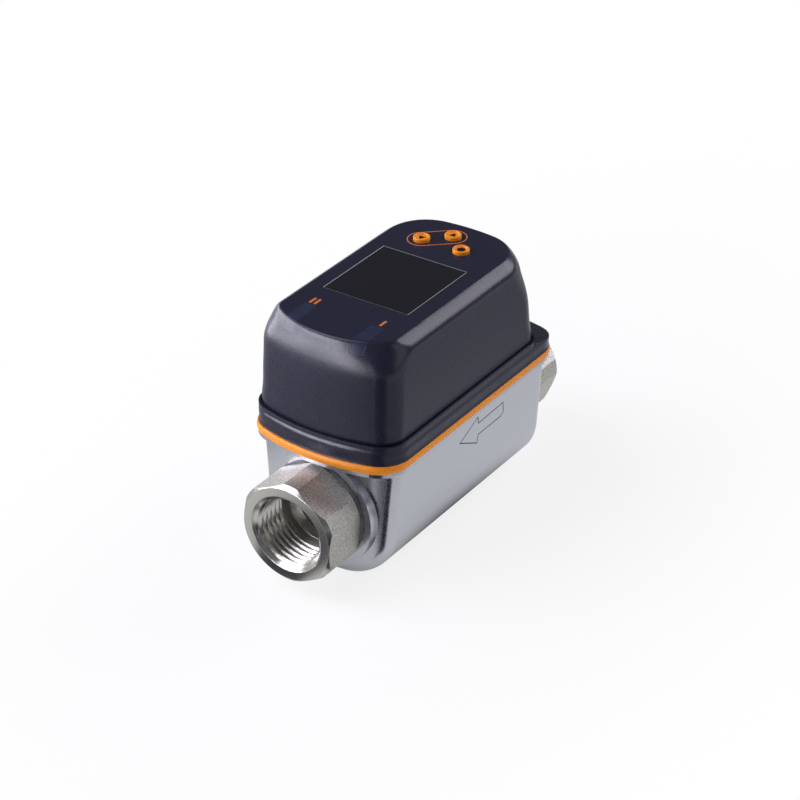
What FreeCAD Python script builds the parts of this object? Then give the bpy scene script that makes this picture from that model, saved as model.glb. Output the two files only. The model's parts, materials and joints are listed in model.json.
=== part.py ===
"""Inline vortex flow meter with a drawn steel lower housing and a moulded display hood.

Millimetres. X runs across the meter, Y along the pipe with the inlet at +Y, and Z up.
The origin is the middle of the footprint, on the flat bottom of the lower housing.
"""

import FreeCAD
import Part
import math
import os

# Overall
OVERALL_LENGTH = 110.0
AXIS_HEIGHT = 18.6
CLEARANCE = 0.1
SMALLEST_CORNER = 0.4
OVERCUT = 1.0

# Hexagon fittings with an internal pipe thread
HEX_ACROSS_FLATS = 27.0
HEX_TURNED_DIAMETER = 29.0
HEX_LENGTH = 13.7
HEX_FACE_CHAMFER = 1.0
HEX_FACE_DIAMETER = 26.8
HEX_BACK_CHAMFER = 0.8
OUTLET_CLOCKING = 4.0
INLET_CLOCKING = -22.0
THREAD_MAJOR_DIAMETER = 20.955
THREAD_DEPTH = 12.0
MOUTH_DIAMETER = 21.9
RELIEF_DIAMETER = 22.0
RELIEF_LENGTH = 2.0
LAND_LENGTH = 2.2
LAND_DIAMETER = 18.4
BORE_DIAMETER = 16.0
SPIGOT_WALL = 0.5
NOSE_DIAMETER = 20.0
NOSE_LENGTH = 4.0
GROOVE_WIDTH = 1.6
O_RING_SECTION = 1.0

# Drawn steel lower housing
SHEET = 1.5
HOUSING_HALF_WIDTH = 21.6
HOUSING_DRAFT = 1.8
HOUSING_BOTTOM_RADIUS = 13.9
HOUSING_END_RADIUS = 3.6
END_BOW_RADIUS = 57.0
RIM_LEVEL = 35.5
LIP_THICKNESS = 1.0
LIP_SIDE_REACH = 1.0
LIP_END_REACH = 3.8
LIP_CORNER_RADIUS = 8.7
FLARE_HEIGHT = 3.0
FLARE_SINK = 0.4
END_BOSS_DIAMETER = 33.0
END_BOSS_HEIGHT = 0.8
WALL_SEAL_THICKNESS = 0.5
WALL_SEAL_WIDTH = 2.7

# Housing seal
SEAL_THICKNESS = 2.2
SEAL_SIDE_PROUD = 0.25
SEAL_END_PROUD = 0.3
SEAL_CORNER_RADIUS = 8.8
SEAL_ROUNDING = 0.6

# Hood
HOOD_WALL = 2.2
COLLAR_SIDE_SETBACK = 0.05
COLLAR_FRONT_SETBACK = 0.8
COLLAR_REAR_SETBACK = 0.4
COLLAR_HEIGHT = 4.4
COLLAR_EDGE = 0.5
DECK_SLOPE_RUN = 14.8
DECK_SLOPE = 0.17
DECK_THICKNESS = 2.0
SKIRT_DEPTH = 4.5
SKIRT_WALL = 1.6
SKIRT_GAP = 0.5
DECK_SIDE_WIDTH = 1.3
DECK_FRONT_WIDTH = 1.55
DECK_REAR_WIDTH = 9.0
SIDE_DRAFT = 0.018
FRONT_DRAFT = 0.0495
REAR_DRAFT = 0.145
CROWN_HEIGHT = 70.25
CROWN_SIDE_SETBACK = 3.7
CROWN_FRONT_SETBACK = 3.05
CROWN_ROUNDING = 0.8
SIDE_ROUNDING_SHARE = 0.35
SIDE_BEVEL_RUN = 1.245
FRONT_BEVEL_RUN = 0.268
BEVEL_SOFTNESS = 1.0
WALL_FRONT_BOW = 60.0
CROWN_FRONT_BOW = 30.0
REAR_BOW = 57.0
FRONT_CORNER_RADIUS = 6.5
BEVEL_FRONT_CORNER_RADIUS = 10.0
BEVEL_CORNER_DROP = 3.0
CROWN_FRONT_CORNER_RADIUS = 4.0
REAR_CORNER_RADIUS = 6.0
CROWN_REAR_CORNER_RADIUS = 12.0
FRONT_SHOULDER_DROP = 7.65
REAR_SHOULDER_DROP = 15.15
REAR_CROWN_DROP = 2.15
BEAD_WIDTH = 0.65
BEAD_HEIGHT = 1.0
SLIT_WIDTH = 0.35
SLIT_DEPTH = 0.6
CROWN_WALL = 2.6

# Display
WINDOW_FRONT_SETBACK = 22.65
WINDOW_BUTTON_GAP = 8.85
WINDOW_WIDTH = 26.3
WINDOW_THICKNESS = 1.2
WINDOW_EDGE = 0.25
WINDOW_LEDGE = 1.2
MODULE_WIDTH = 30.0
MODULE_BORDER = 2.7
GLASS_GAP = 0.1

# Status lights
LED_PITCH = 20.8
LED_WINDOW_WIDTH = 3.8
LED_WINDOW_SETBACK = 13.35
LED_WINDOW_DROP = 3.25
LED_WINDOW_THICKNESS = 1.0
LED_STEM = 3.0
LED_STEM_SETBACK = 9.75
LED_HEIGHT = 0.9
LED_SIZE = 2.6

# Push buttons
BUTTON_DIAMETER = 4.6
BUTTON_PROUD = 1.0
BUTTON_EDGE = 0.3
BUTTON_GAP = 0.12
BUTTON_FLANGE_DIAMETER = 6.2
BUTTON_FLANGE_THICKNESS = 0.8
BUTTON_TRAVEL = 0.5
BUTTON_PITCH = 12.5
BUTTONS_X = -0.75
BUTTON_ROW_SETBACK = 17.35
MIDDLE_BUTTON_SETBACK = 11.65
SYMBOL_DEPTH = 0.6
SYMBOL_RADIUS = 1.2
TOWARDS_FRONT = -90.0
TOWARDS_REAR = 90.0
BUTTON_ROOM = 2.5
SWITCH_WIDTH = 4.6
SWITCH_HEIGHT = 0.9
PLUNGER_DIAMETER = 2.2

# Circuit boards
BOARD_THICKNESS = 1.6
DISPLAY_BOARD_HALF_WIDTH = 15.4
DISPLAY_BOARD_FRONT_MARGIN = 7.75
DISPLAY_BOARD_REAR_MARGIN = 9.3
BOARD_CORNER = 4.0
MAIN_BOARD_CLIMB = 4.9
MAIN_BOARD_HALF_WIDTH = 16.5
MAIN_BOARD_FRONT_MARGIN = 8.75
MAIN_BOARD_REAR_MARGIN = 8.2
FRONT_POST_X = 5.0
FRONT_POST_SETBACK = 14.25
REAR_POST_X = 12.6
REAR_POST_SETBACK = 16.2
POST_DIAMETER = 4.4
STUD_DIAMETER = 2.0
TAPPED_DEPTH = 6.0
SCREW_REACH = 4.0
SPACER_ACROSS_FLATS = 4.0
SCREW_HEAD_DIAMETER = 3.8
SCREW_HEAD_HEIGHT = 1.3
HEADER_WIDTH = 2.5
HEADER_LENGTH = 20.0
HEADER_X = 13.6

# Measuring tube and what plugs into it
TUBE_DIAMETER = 27.0
TUBE_FLANGE_DIAMETER = 29.4
TUBE_FLANGE_THICKNESS = 2.2
PAD_WIDTH = 24.0
PAD_FRONT = -25.0
PAD_REAR = 20.0
PAD_HEIGHT = 14.0
PAD_CORNER = 5.0
BLUFF_Y = 11.0
BLUFF_WIDTH = 4.6
BLUFF_TAIL_WIDTH = 2.0
BLUFF_LENGTH = 6.0
BLUFF_SEAT = 1.0
SENSOR_Y = -4.0
PADDLE_THICKNESS = 1.2
PADDLE_LENGTH = 5.0
PADDLE_REACH = 12.0
PROBE_Y = -17.0
PROBE_DIAMETER = 4.0
PROBE_TIP_RADIUS = 1.0
PROBE_REACH = 11.0
PLUG_DIAMETER = 11.0
PLUG_STEP = 3.0
PLUG_SEAL_SECTION = 1.2
NECK_DIAMETER = 7.0
STUB_DIAMETER = 5.0
STUB_HEIGHT = 3.0
LEAD_DIAMETER = 2.0
CLAMP_THICKNESS = 2.0
CLAMP_SCREW_X = 8.6
CLAMP_SCREW_DIAMETER = 3.0
CLAMP_SCREW_LENGTH = 7.0
CLAMP_HEAD_DIAMETER = 5.5
CLAMP_HEAD_HEIGHT = 2.0

# Electrical connector
CONNECTOR_CLIMB = 9.9
CONNECTOR_THREAD_DIAMETER = 12.0
CONNECTOR_REACH = 9.0
CONNECTOR_CAVITY_DIAMETER = 8.8
CONNECTOR_FLOOR = 1.2
CONNECTOR_FLANGE_DIAMETER = 14.5
CONNECTOR_FLANGE_THICKNESS = 1.2
CONNECTOR_STEM_DIAMETER = 10.4
CONNECTOR_BOSS_DIAMETER = 17.0
CONNECTOR_BOSS_DEPTH = 6.6
CONNECTOR_NUT_POCKET_DIAMETER = 14.4
CONNECTOR_BOSS_PROUD = 0.2
CONNECTOR_NUT_CLOCKING = 30.0
CONNECTOR_STEM_LENGTH = 7.6
CONNECTOR_NUT_ACROSS_FLATS = 12.0
CONNECTOR_NUT_THICKNESS = 2.0
CONNECTOR_SEAL_SECTION = 0.7
CONNECTOR_SEAL_DIAMETER = 11.7
CONTACT_CIRCLE_DIAMETER = 5.0
CONTACT_DIAMETER = 1.0
CONTACT_LENGTH = 7.4
CONTACT_TIP_RADIUS = 0.4
CONTACT_CLOCKING = 45.0
CONTACT_COUNT = 4
KEY_WIDTH = 1.2
KEY_HEIGHT = 0.7
CONNECTOR_EDGE = 0.7

# Places worked out from the sizes above
END_Y = OVERALL_LENGTH / 2.0
SPIGOT_DIAMETER = RELIEF_DIAMETER + 2.0 * SPIGOT_WALL
WALL_SEAL_DIAMETER = SPIGOT_DIAMETER + 2.0 * WALL_SEAL_WIDTH
THREAD_END_Y = END_Y - THREAD_DEPTH
HEX_BACK_Y = END_Y - HEX_LENGTH
BOSS_Y = HEX_BACK_Y - WALL_SEAL_THICKNESS
HOUSING_HALF_LENGTH = BOSS_Y - END_BOSS_HEIGHT
LIP_HALF_WIDTH = HOUSING_HALF_WIDTH + LIP_SIDE_REACH
LIP_HALF_LENGTH = HOUSING_HALF_LENGTH + LIP_END_REACH
SEAL_HALF_WIDTH = LIP_HALF_WIDTH + SEAL_SIDE_PROUD
SEAL_HALF_LENGTH = LIP_HALF_LENGTH + SEAL_END_PROUD
COLLAR_HALF_WIDTH = SEAL_HALF_WIDTH - COLLAR_SIDE_SETBACK
COLLAR_FRONT = COLLAR_FRONT_SETBACK - SEAL_HALF_LENGTH
COLLAR_REAR = SEAL_HALF_LENGTH - COLLAR_REAR_SETBACK
DECK_SLOPE_START = COLLAR_REAR - DECK_SLOPE_RUN
TOWER_HALF_WIDTH = COLLAR_HALF_WIDTH - DECK_SIDE_WIDTH
TOWER_FRONT = COLLAR_FRONT + DECK_FRONT_WIDTH
TOWER_REAR = COLLAR_REAR - DECK_REAR_WIDTH
CROWN_HALF_WIDTH = TOWER_HALF_WIDTH - CROWN_SIDE_SETBACK
CROWN_FRONT = TOWER_FRONT + CROWN_FRONT_SETBACK
TUBE_END_Y = BOSS_Y - SHEET
SOCKET_Y = TUBE_END_Y - 2.0 * NOSE_LENGTH
NOSE_Y = SOCKET_Y - NOSE_LENGTH
COLLAR_LEVEL = RIM_LEVEL + SEAL_THICKNESS
DECK_LEVEL = COLLAR_LEVEL + COLLAR_HEIGHT
FRONT_SHOULDER_LEVEL = CROWN_HEIGHT - FRONT_SHOULDER_DROP
BEVEL_CORNER_LEVEL = CROWN_HEIGHT - BEVEL_CORNER_DROP
REAR_SHOULDER_LEVEL = CROWN_HEIGHT - REAR_SHOULDER_DROP
REAR_CROWN_LEVEL = CROWN_HEIGHT - REAR_CROWN_DROP
CEILING_LEVEL = CROWN_HEIGHT - CROWN_WALL
DISPLAY_BOARD_TOP = CEILING_LEVEL - BUTTON_ROOM
DISPLAY_BOARD_LEVEL = DISPLAY_BOARD_TOP - BOARD_THICKNESS
MAIN_BOARD_LEVEL = DECK_LEVEL + MAIN_BOARD_CLIMB
MAIN_BOARD_TOP = MAIN_BOARD_LEVEL + BOARD_THICKNESS
CONNECTOR_HEIGHT = DECK_LEVEL + CONNECTOR_CLIMB
CONNECTOR_BOSS_FACE = TOWER_REAR + CONNECTOR_BOSS_PROUD
LED_WINDOW_REAR = TOWER_FRONT + LED_WINDOW_SETBACK
LED_WINDOW_LOW = CROWN_HEIGHT - LED_WINDOW_DROP
LED_STEM_Y = TOWER_FRONT + LED_STEM_SETBACK
BUTTON_ROW_Y = TOWER_REAR - BUTTON_ROW_SETBACK
MIDDLE_BUTTON_Y = TOWER_REAR - MIDDLE_BUTTON_SETBACK
WINDOW_FRONT_Y = TOWER_FRONT + WINDOW_FRONT_SETBACK
WINDOW_REAR_Y = BUTTON_ROW_Y - WINDOW_BUTTON_GAP
WINDOW_LENGTH = WINDOW_REAR_Y - WINDOW_FRONT_Y
MODULE_LENGTH = WINDOW_LENGTH + 2.0 * MODULE_BORDER
DISPLAY_CENTRE_Y = (WINDOW_FRONT_Y + WINDOW_REAR_Y) / 2.0
DISPLAY_BOARD_FRONT = TOWER_FRONT + DISPLAY_BOARD_FRONT_MARGIN
DISPLAY_BOARD_REAR = TOWER_REAR - DISPLAY_BOARD_REAR_MARGIN
MAIN_BOARD_FRONT = TOWER_FRONT + MAIN_BOARD_FRONT_MARGIN
MAIN_BOARD_REAR = TOWER_REAR - MAIN_BOARD_REAR_MARGIN
FRONT_POST_Y = TOWER_FRONT + FRONT_POST_SETBACK
REAR_POST_Y = TOWER_REAR - REAR_POST_SETBACK
PAD_LEVEL = AXIS_HEIGHT + PAD_HEIGHT
PLUG_LEVEL = PAD_LEVEL - PLUG_STEP
CLAMP_TOP = PAD_LEVEL + CLAMP_THICKNESS
X_AXIS = FreeCAD.Vector(1, 0, 0)
Y_AXIS = FreeCAD.Vector(0, 1, 0)
Z_AXIS = FreeCAD.Vector(0, 0, 1)


def soft_min(first, second, softness):
    """The lower of two values, blended along a hyperbola where they cross."""
    gap = first - second
    return 0.5 * (first + second - math.sqrt(gap * gap + softness * softness))


def smooth_step(value, low, high):
    """0 below low, 1 above high, with an S curve between."""
    share = min(max((value - low) / (high - low), 0.0), 1.0)
    return share * share * (3.0 - 2.0 * share)


def mix(start, end, share):
    return start + (end - start) * share


class Outline:
    """A plan outline with straight sides, bowed ends and rounded corners, the same left and right."""

    def __init__(self, half_width, front, rear, front_bow, rear_bow, front_corner, rear_corner):
        self.half_width = half_width
        self.front = front
        self.rear = rear
        self.front_bow = front_bow
        self.rear_bow = rear_bow
        self.front_corner = front_corner
        self.rear_corner = rear_corner

    def inset(self, distance):
        """The parallel outline that lies this far inside, or outside where the distance is negative."""
        return Outline(self.half_width - distance, self.front + distance, self.rear - distance,
                       self.front_bow - distance, self.rear_bow - distance,
                       max(self.front_corner - distance, SMALLEST_CORNER),
                       max(self.rear_corner - distance, SMALLEST_CORNER))

    def end_points(self, apex, bow, corner, outward):
        """Apex, bow end, corner middle and corner end of one end on the +X side."""
        centre_x = self.half_width - corner
        reach = math.sqrt((bow - corner) ** 2 - centre_x ** 2)
        bow_centre = apex - outward * bow
        corner_centre = bow_centre + outward * reach
        turn = math.atan2(centre_x, reach)
        half_turn = (turn + math.pi / 2.0) / 2.0
        bow_end = (bow * math.sin(turn), bow_centre + outward * bow * math.cos(turn))
        corner_middle = (centre_x + corner * math.sin(half_turn),
                         corner_centre + outward * corner * math.cos(half_turn))
        corner_end = (self.half_width, corner_centre)
        return (0.0, apex), bow_end, corner_middle, corner_end

    def wire(self, level):
        """The closed outline at one height, as six arcs and two straight sides."""
        front = self.end_points(self.front, self.front_bow, self.front_corner, -1.0)
        rear = self.end_points(self.rear, self.rear_bow, self.rear_corner, 1.0)

        def at(point, side=1.0):
            return FreeCAD.Vector(side * point[0], point[1], level)

        edges = [
            Part.Arc(at(front[1], -1.0), at(front[0]), at(front[1])),
            Part.Arc(at(front[1]), at(front[2]), at(front[3])),
            Part.LineSegment(at(front[3]), at(rear[3])),
            Part.Arc(at(rear[3]), at(rear[2]), at(rear[1])),
            Part.Arc(at(rear[1]), at(rear[0]), at(rear[1], -1.0)),
            Part.Arc(at(rear[1], -1.0), at(rear[2], -1.0), at(rear[3], -1.0)),
            Part.LineSegment(at(rear[3], -1.0), at(front[3], -1.0)),
            Part.Arc(at(front[3], -1.0), at(front[2], -1.0), at(front[1], -1.0)),
        ]
        return Part.Wire([edge.toShape() for edge in edges])

    def prism(self, low, high):
        return Part.Face(self.wire(low)).extrude(Z_AXIS * (high - low))


def loft(sections):
    """A smooth solid through (outline, height) pairs, from the bottom up."""
    wires = [outline.wire(level) for outline, level in sections]
    return Part.makeLoft(wires, True, False)


def box(x_range, y_range, z_range):
    corner = FreeCAD.Vector(x_range[0], y_range[0], z_range[0])
    return Part.makeBox(x_range[1] - x_range[0], y_range[1] - y_range[0], z_range[1] - z_range[0], corner)


def rounded_plate(half_width, front, rear, corner, low, high):
    plate = box((-half_width, half_width), (front, rear), (low, high))
    upright = [edge for edge in plate.Edges if abs(edge.tangentAt(edge.FirstParameter).z) > 0.5]
    return plate.makeFillet(corner, upright)


def upright_cylinder(diameter, low, high, x=0.0, y=0.0):
    return Part.makeCylinder(diameter / 2.0, high - low, FreeCAD.Vector(x, y, low), Z_AXIS)


def pipe_cylinder(diameter, start, end, height=AXIS_HEIGHT, x=0.0):
    return Part.makeCylinder(diameter / 2.0, end - start, FreeCAD.Vector(x, start, height), Y_AXIS)


def turned(profile, height=AXIS_HEIGHT):
    """A solid of revolution about an axis along Y, from closed (y, radius) points."""
    points = [FreeCAD.Vector(0, y, height + radius) for y, radius in profile]
    face = Part.Face(Part.makePolygon(points + points[:1]))
    return face.revolve(FreeCAD.Vector(0, 0, height), Y_AXIS, 360.0)


def hexagon(across_flats, clocking=0.0):
    """Corner points of a hexagon, as (across, up), with one corner up before it is turned."""
    radius = across_flats / math.sqrt(3.0)
    turns = [math.radians(90.0 + clocking + 60.0 * step) for step in range(6)]
    return [(radius * math.cos(turn), radius * math.sin(turn)) for turn in turns]


def pipe_hexagon(across_flats, start, end, height=AXIS_HEIGHT, clocking=0.0):
    corners = hexagon(across_flats, clocking)
    points = [FreeCAD.Vector(across, start, height + up) for across, up in corners]
    return Part.Face(Part.makePolygon(points + points[:1])).extrude(Y_AXIS * (end - start))


def upright_hexagon(across_flats, low, high, x, y):
    points = [FreeCAD.Vector(x + across, y + along, low) for across, along in hexagon(across_flats)]
    return Part.Face(Part.makePolygon(points + points[:1])).extrude(Z_AXIS * (high - low))


def ring_about_pipe(middle_diameter, section, y, height=AXIS_HEIGHT):
    return Part.makeTorus(middle_diameter / 2.0, section / 2.0, FreeCAD.Vector(0, y, height), Y_AXIS)


def rings(shape):
    """The closed round edges of a shape."""
    return [edge for edge in shape.Edges if len(edge.Vertexes) == 1]


def turn_end_for_end(shape):
    """The same piece at the other end of the pipe."""
    moved = shape.copy()
    moved.rotate(FreeCAD.Vector(0, 0, 0), Z_AXIS, 180.0)
    return moved


def post_places():
    """Plan positions of the four board posts, front pair first."""
    front = [(side * FRONT_POST_X, FRONT_POST_Y) for side in (-1.0, 1.0)]
    rear = [(side * REAR_POST_X, REAR_POST_Y) for side in (-1.0, 1.0)]
    return front + rear


def button_places():
    """Plan position of each push button by name."""
    return {
        "left": (BUTTONS_X - BUTTON_PITCH / 2.0, BUTTON_ROW_Y),
        "middle": (BUTTONS_X, MIDDLE_BUTTON_Y),
        "right": (BUTTONS_X + BUTTON_PITCH / 2.0, BUTTON_ROW_Y),
    }


def make_fitting(clocking):
    """A stainless hexagon fitting for the inlet end, with a spigot and an O-ring nose."""
    corner = HEX_TURNED_DIAMETER / 2.0
    envelope = turned([
        (HEX_BACK_Y, 0.0),
        (HEX_BACK_Y, corner - HEX_BACK_CHAMFER),
        (HEX_BACK_Y + HEX_BACK_CHAMFER, corner),
        (END_Y - HEX_FACE_CHAMFER, corner),
        (END_Y, HEX_FACE_DIAMETER / 2.0),
        (END_Y, 0.0),
    ])
    head = pipe_hexagon(HEX_ACROSS_FLATS, HEX_BACK_Y, END_Y, clocking=clocking).common(envelope)
    spigot = pipe_cylinder(SPIGOT_DIAMETER, SOCKET_Y + CLEARANCE, HEX_BACK_Y)
    nose = pipe_cylinder(NOSE_DIAMETER, NOSE_Y + CLEARANCE, SOCKET_Y + CLEARANCE)
    body = head.fuse([spigot, nose]).removeSplitter()
    return body.cut([fitting_bore(), ring_groove()])


def fitting_bore():
    """The passage through a fitting: mouth, thread, relief, sealing land and bore."""
    thread = THREAD_MAJOR_DIAMETER / 2.0
    mouth = MOUTH_DIAMETER / 2.0
    relief = RELIEF_DIAMETER / 2.0
    relief_end = THREAD_END_Y - RELIEF_LENGTH
    land_end = relief_end - LAND_LENGTH
    return turned([
        (END_Y, 0.0),
        (END_Y, mouth),
        (END_Y - (mouth - thread), thread),
        (THREAD_END_Y, thread),
        (THREAD_END_Y, relief),
        (relief_end, relief),
        (relief_end, LAND_DIAMETER / 2.0),
        (land_end, BORE_DIAMETER / 2.0),
        (NOSE_Y, BORE_DIAMETER / 2.0),
        (NOSE_Y, 0.0),
    ])


def ring_groove():
    middle = NOSE_Y + NOSE_LENGTH / 2.0
    floor = NOSE_DIAMETER - 2.0 * O_RING_SECTION
    start = middle - GROOVE_WIDTH / 2.0
    end = middle + GROOVE_WIDTH / 2.0
    return pipe_cylinder(NOSE_DIAMETER + OVERCUT, start, end).cut(pipe_cylinder(floor, start, end))


def make_fitting_o_ring():
    return ring_about_pipe(NOSE_DIAMETER - O_RING_SECTION, O_RING_SECTION, NOSE_Y + NOSE_LENGTH / 2.0)


def make_wall_seal():
    """The thin ring between the hexagon's back and the housing."""
    ring = pipe_cylinder(WALL_SEAL_DIAMETER, BOSS_Y, HEX_BACK_Y)
    return ring.cut(pipe_cylinder(SPIGOT_DIAMETER + CLEARANCE, BOSS_Y, HEX_BACK_Y))


def even_outline(half_width, half_length, corner):
    """An outline that is the same front and rear, with the meter's end bow."""
    return Outline(half_width, -half_length, half_length, END_BOW_RADIUS, END_BOW_RADIUS, corner, corner)


def housing_wall_outline():
    return even_outline(HOUSING_HALF_WIDTH, HOUSING_HALF_LENGTH, HOUSING_END_RADIUS)


def lip_outline():
    return even_outline(LIP_HALF_WIDTH, LIP_HALF_LENGTH, LIP_CORNER_RADIUS)


def trough_section(inset):
    """The U section across the trough: drafted sides and a rounded bottom."""
    top = RIM_LEVEL
    half_top = HOUSING_HALF_WIDTH - inset
    radius = HOUSING_BOTTOM_RADIUS - inset
    side_foot = half_top - HOUSING_DRAFT
    centre_x = side_foot - radius
    centre_z = inset + radius
    lean = math.atan2(HOUSING_DRAFT, top - centre_z)
    middle = (math.pi / 2.0 - lean) / 2.0 + lean

    def at(x, z):
        return FreeCAD.Vector(x, 0, z)

    def arc_point(turn, side):
        return at(side * (centre_x + radius * math.cos(turn)), centre_z - radius * math.sin(turn))

    left = [arc_point(lean, -1.0), arc_point(middle, -1.0), at(-centre_x, inset)]
    right = [at(centre_x, inset), arc_point(middle, 1.0), arc_point(lean, 1.0)]
    edges = [
        Part.LineSegment(at(-half_top, top), left[0]),
        Part.Arc(left[0], left[1], left[2]),
        Part.LineSegment(left[2], right[0]),
        Part.Arc(right[0], right[1], right[2]),
        Part.LineSegment(right[2], at(half_top, top)),
        Part.LineSegment(at(half_top, top), at(-half_top, top)),
    ]
    return Part.Wire([edge.toShape() for edge in edges])


def trough_body(inset):
    """The U section cut to length by the bowed ends, with the end edges rounded."""
    reach = HOUSING_HALF_LENGTH + SHEET
    section = Part.Face(trough_section(inset))
    section.translate(Y_AXIS * -reach)
    bar = section.extrude(Y_AXIS * (2.0 * reach))
    bow_centre = HOUSING_HALF_LENGTH - END_BOW_RADIUS
    for side in (-1.0, 1.0):
        middle = FreeCAD.Vector(0, side * bow_centre, 0)
        bar = bar.common(Part.makeCylinder(END_BOW_RADIUS - inset, RIM_LEVEL, middle))
    end_edges = [edge for edge in bar.Edges if lies_on_an_end(edge)]
    return bar.makeFillet(HOUSING_END_RADIUS - inset, end_edges)


def lies_on_an_end(edge):
    """True for an edge between a side or the bottom and a bowed end."""
    low = min(vertex.Z for vertex in edge.Vertexes)
    ends = [vertex.Y for vertex in edge.Vertexes]
    return low < RIM_LEVEL - SHEET and ends[0] * ends[-1] > 0.0


def make_lower_housing():
    """The drawn trough with its flared lip and a round boss with a hole in each end."""
    body = trough_body(0.0).fuse(flared_lip())
    for side in (-1.0, 1.0):
        body = body.fuse(end_boss(side, END_BOSS_DIAMETER, BOSS_Y))
    body = body.cut(trough_body(SHEET))
    for side in (-1.0, 1.0):
        body = body.cut(end_boss(side, END_BOSS_DIAMETER - 2.0 * SHEET, TUBE_END_Y))
        hole = pipe_cylinder(SPIGOT_DIAMETER + 2.0 * CLEARANCE, 0.0, END_Y)
        body = body.cut(hole if side > 0.0 else turn_end_for_end(hole))
    return body.removeSplitter()


def flared_lip():
    """The flare, with the flat lip drawn up from its own top face."""
    flare = loft(flare_sections())
    top = max(flare.Faces, key=lambda face: face.CenterOfMass.z)
    return flare.fuse(top.extrude(Z_AXIS * LIP_THICKNESS))


def flare_sections():
    """Outlines that turn out from just inside the wall to the lip along a quarter ellipse."""
    start = housing_wall_outline().inset(FLARE_SINK)
    lip = lip_outline()
    low = RIM_LEVEL - LIP_THICKNESS - FLARE_HEIGHT
    steps = 5
    sections = []
    for step in range(steps + 1):
        turn = math.pi / 2.0 * step / steps
        share = 1.0 - math.cos(turn)
        half_width = mix(start.half_width, lip.half_width, share)
        half_length = mix(start.rear, lip.rear, share)
        corner = mix(start.rear_corner, lip.rear_corner, share)
        sections.append((even_outline(half_width, half_length, corner), low + FLARE_HEIGHT * math.sin(turn)))
    return sections


def end_boss(side, diameter, face):
    """A round pad on one end, from inside the wall's corners out to its flat face."""
    start = HOUSING_HALF_LENGTH - 2.0 * HOUSING_END_RADIUS + SHEET
    pad = pipe_cylinder(diameter, start, face)
    return pad if side > 0.0 else turn_end_for_end(pad)


def seal_outline():
    return even_outline(SEAL_HALF_WIDTH, SEAL_HALF_LENGTH, SEAL_CORNER_RADIUS)


def skirt_outline():
    return housing_wall_outline().inset(SHEET + SKIRT_GAP)


def make_housing_seal():
    """The coloured band between the steel lip and the hood, with a bulged outer face."""
    edge = seal_outline().inset(SEAL_ROUNDING / 2.0)
    band = loft([
        (edge, RIM_LEVEL),
        (seal_outline().inset(SEAL_ROUNDING / 8.0), RIM_LEVEL + SEAL_ROUNDING),
        (seal_outline(), RIM_LEVEL + SEAL_THICKNESS / 2.0),
        (seal_outline().inset(SEAL_ROUNDING / 8.0), COLLAR_LEVEL - SEAL_ROUNDING),
        (edge, COLLAR_LEVEL),
    ])
    return band.cut(skirt_outline().inset(-CLEARANCE).prism(RIM_LEVEL, COLLAR_LEVEL))


def tower_outline(level):
    """The hood's plan outline at one height: drafted walls that blend into the bevels."""
    rise = level - DECK_LEVEL
    drop = CROWN_HEIGHT - level
    half_width = soft_min(TOWER_HALF_WIDTH - SIDE_DRAFT * rise, CROWN_HALF_WIDTH + SIDE_BEVEL_RUN * drop,
                          BEVEL_SOFTNESS)
    front = soft_min(-TOWER_FRONT - FRONT_DRAFT * rise, -CROWN_FRONT + FRONT_BEVEL_RUN * drop,
                     BEVEL_SOFTNESS / 2.0)
    front_share = smooth_step(level, FRONT_SHOULDER_LEVEL, CROWN_HEIGHT)
    rear_share = smooth_step(level, REAR_SHOULDER_LEVEL, REAR_CROWN_LEVEL)
    bevel_share = smooth_step(level, FRONT_SHOULDER_LEVEL, BEVEL_CORNER_LEVEL)
    crown_share = smooth_step(level, BEVEL_CORNER_LEVEL, CROWN_HEIGHT)
    bevel_corner = mix(FRONT_CORNER_RADIUS, BEVEL_FRONT_CORNER_RADIUS, bevel_share)
    return Outline(half_width, -front, TOWER_REAR - REAR_DRAFT * rise,
                   mix(WALL_FRONT_BOW, CROWN_FRONT_BOW, front_share), REAR_BOW,
                   mix(bevel_corner, CROWN_FRONT_CORNER_RADIUS, crown_share),
                   mix(REAR_CORNER_RADIUS, CROWN_REAR_CORNER_RADIUS, rear_share))


def curled(outline, amount):
    """The outline pulled in by a rounded top edge, less at the sides where the bevel is shallow."""
    inner = outline.inset(amount)
    inner.half_width = outline.half_width - amount * SIDE_ROUNDING_SHARE
    return inner


def tower_solid(low, top, inset):
    """The tower between two heights, pulled in by an inset, with its top edge rounded."""
    steps = 12
    rounding = CROWN_ROUNDING
    sections = []
    for step in range(steps + 1):
        level = mix(low, top, 1.0 - (1.0 - step / steps) ** 2)
        climb = min(max(level - (top - rounding), 0.0), rounding)
        curl = rounding - math.sqrt(rounding * rounding - climb * climb)
        sections.append((curled(tower_outline(level).inset(inset), curl), level))
    return loft(sections)


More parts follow.
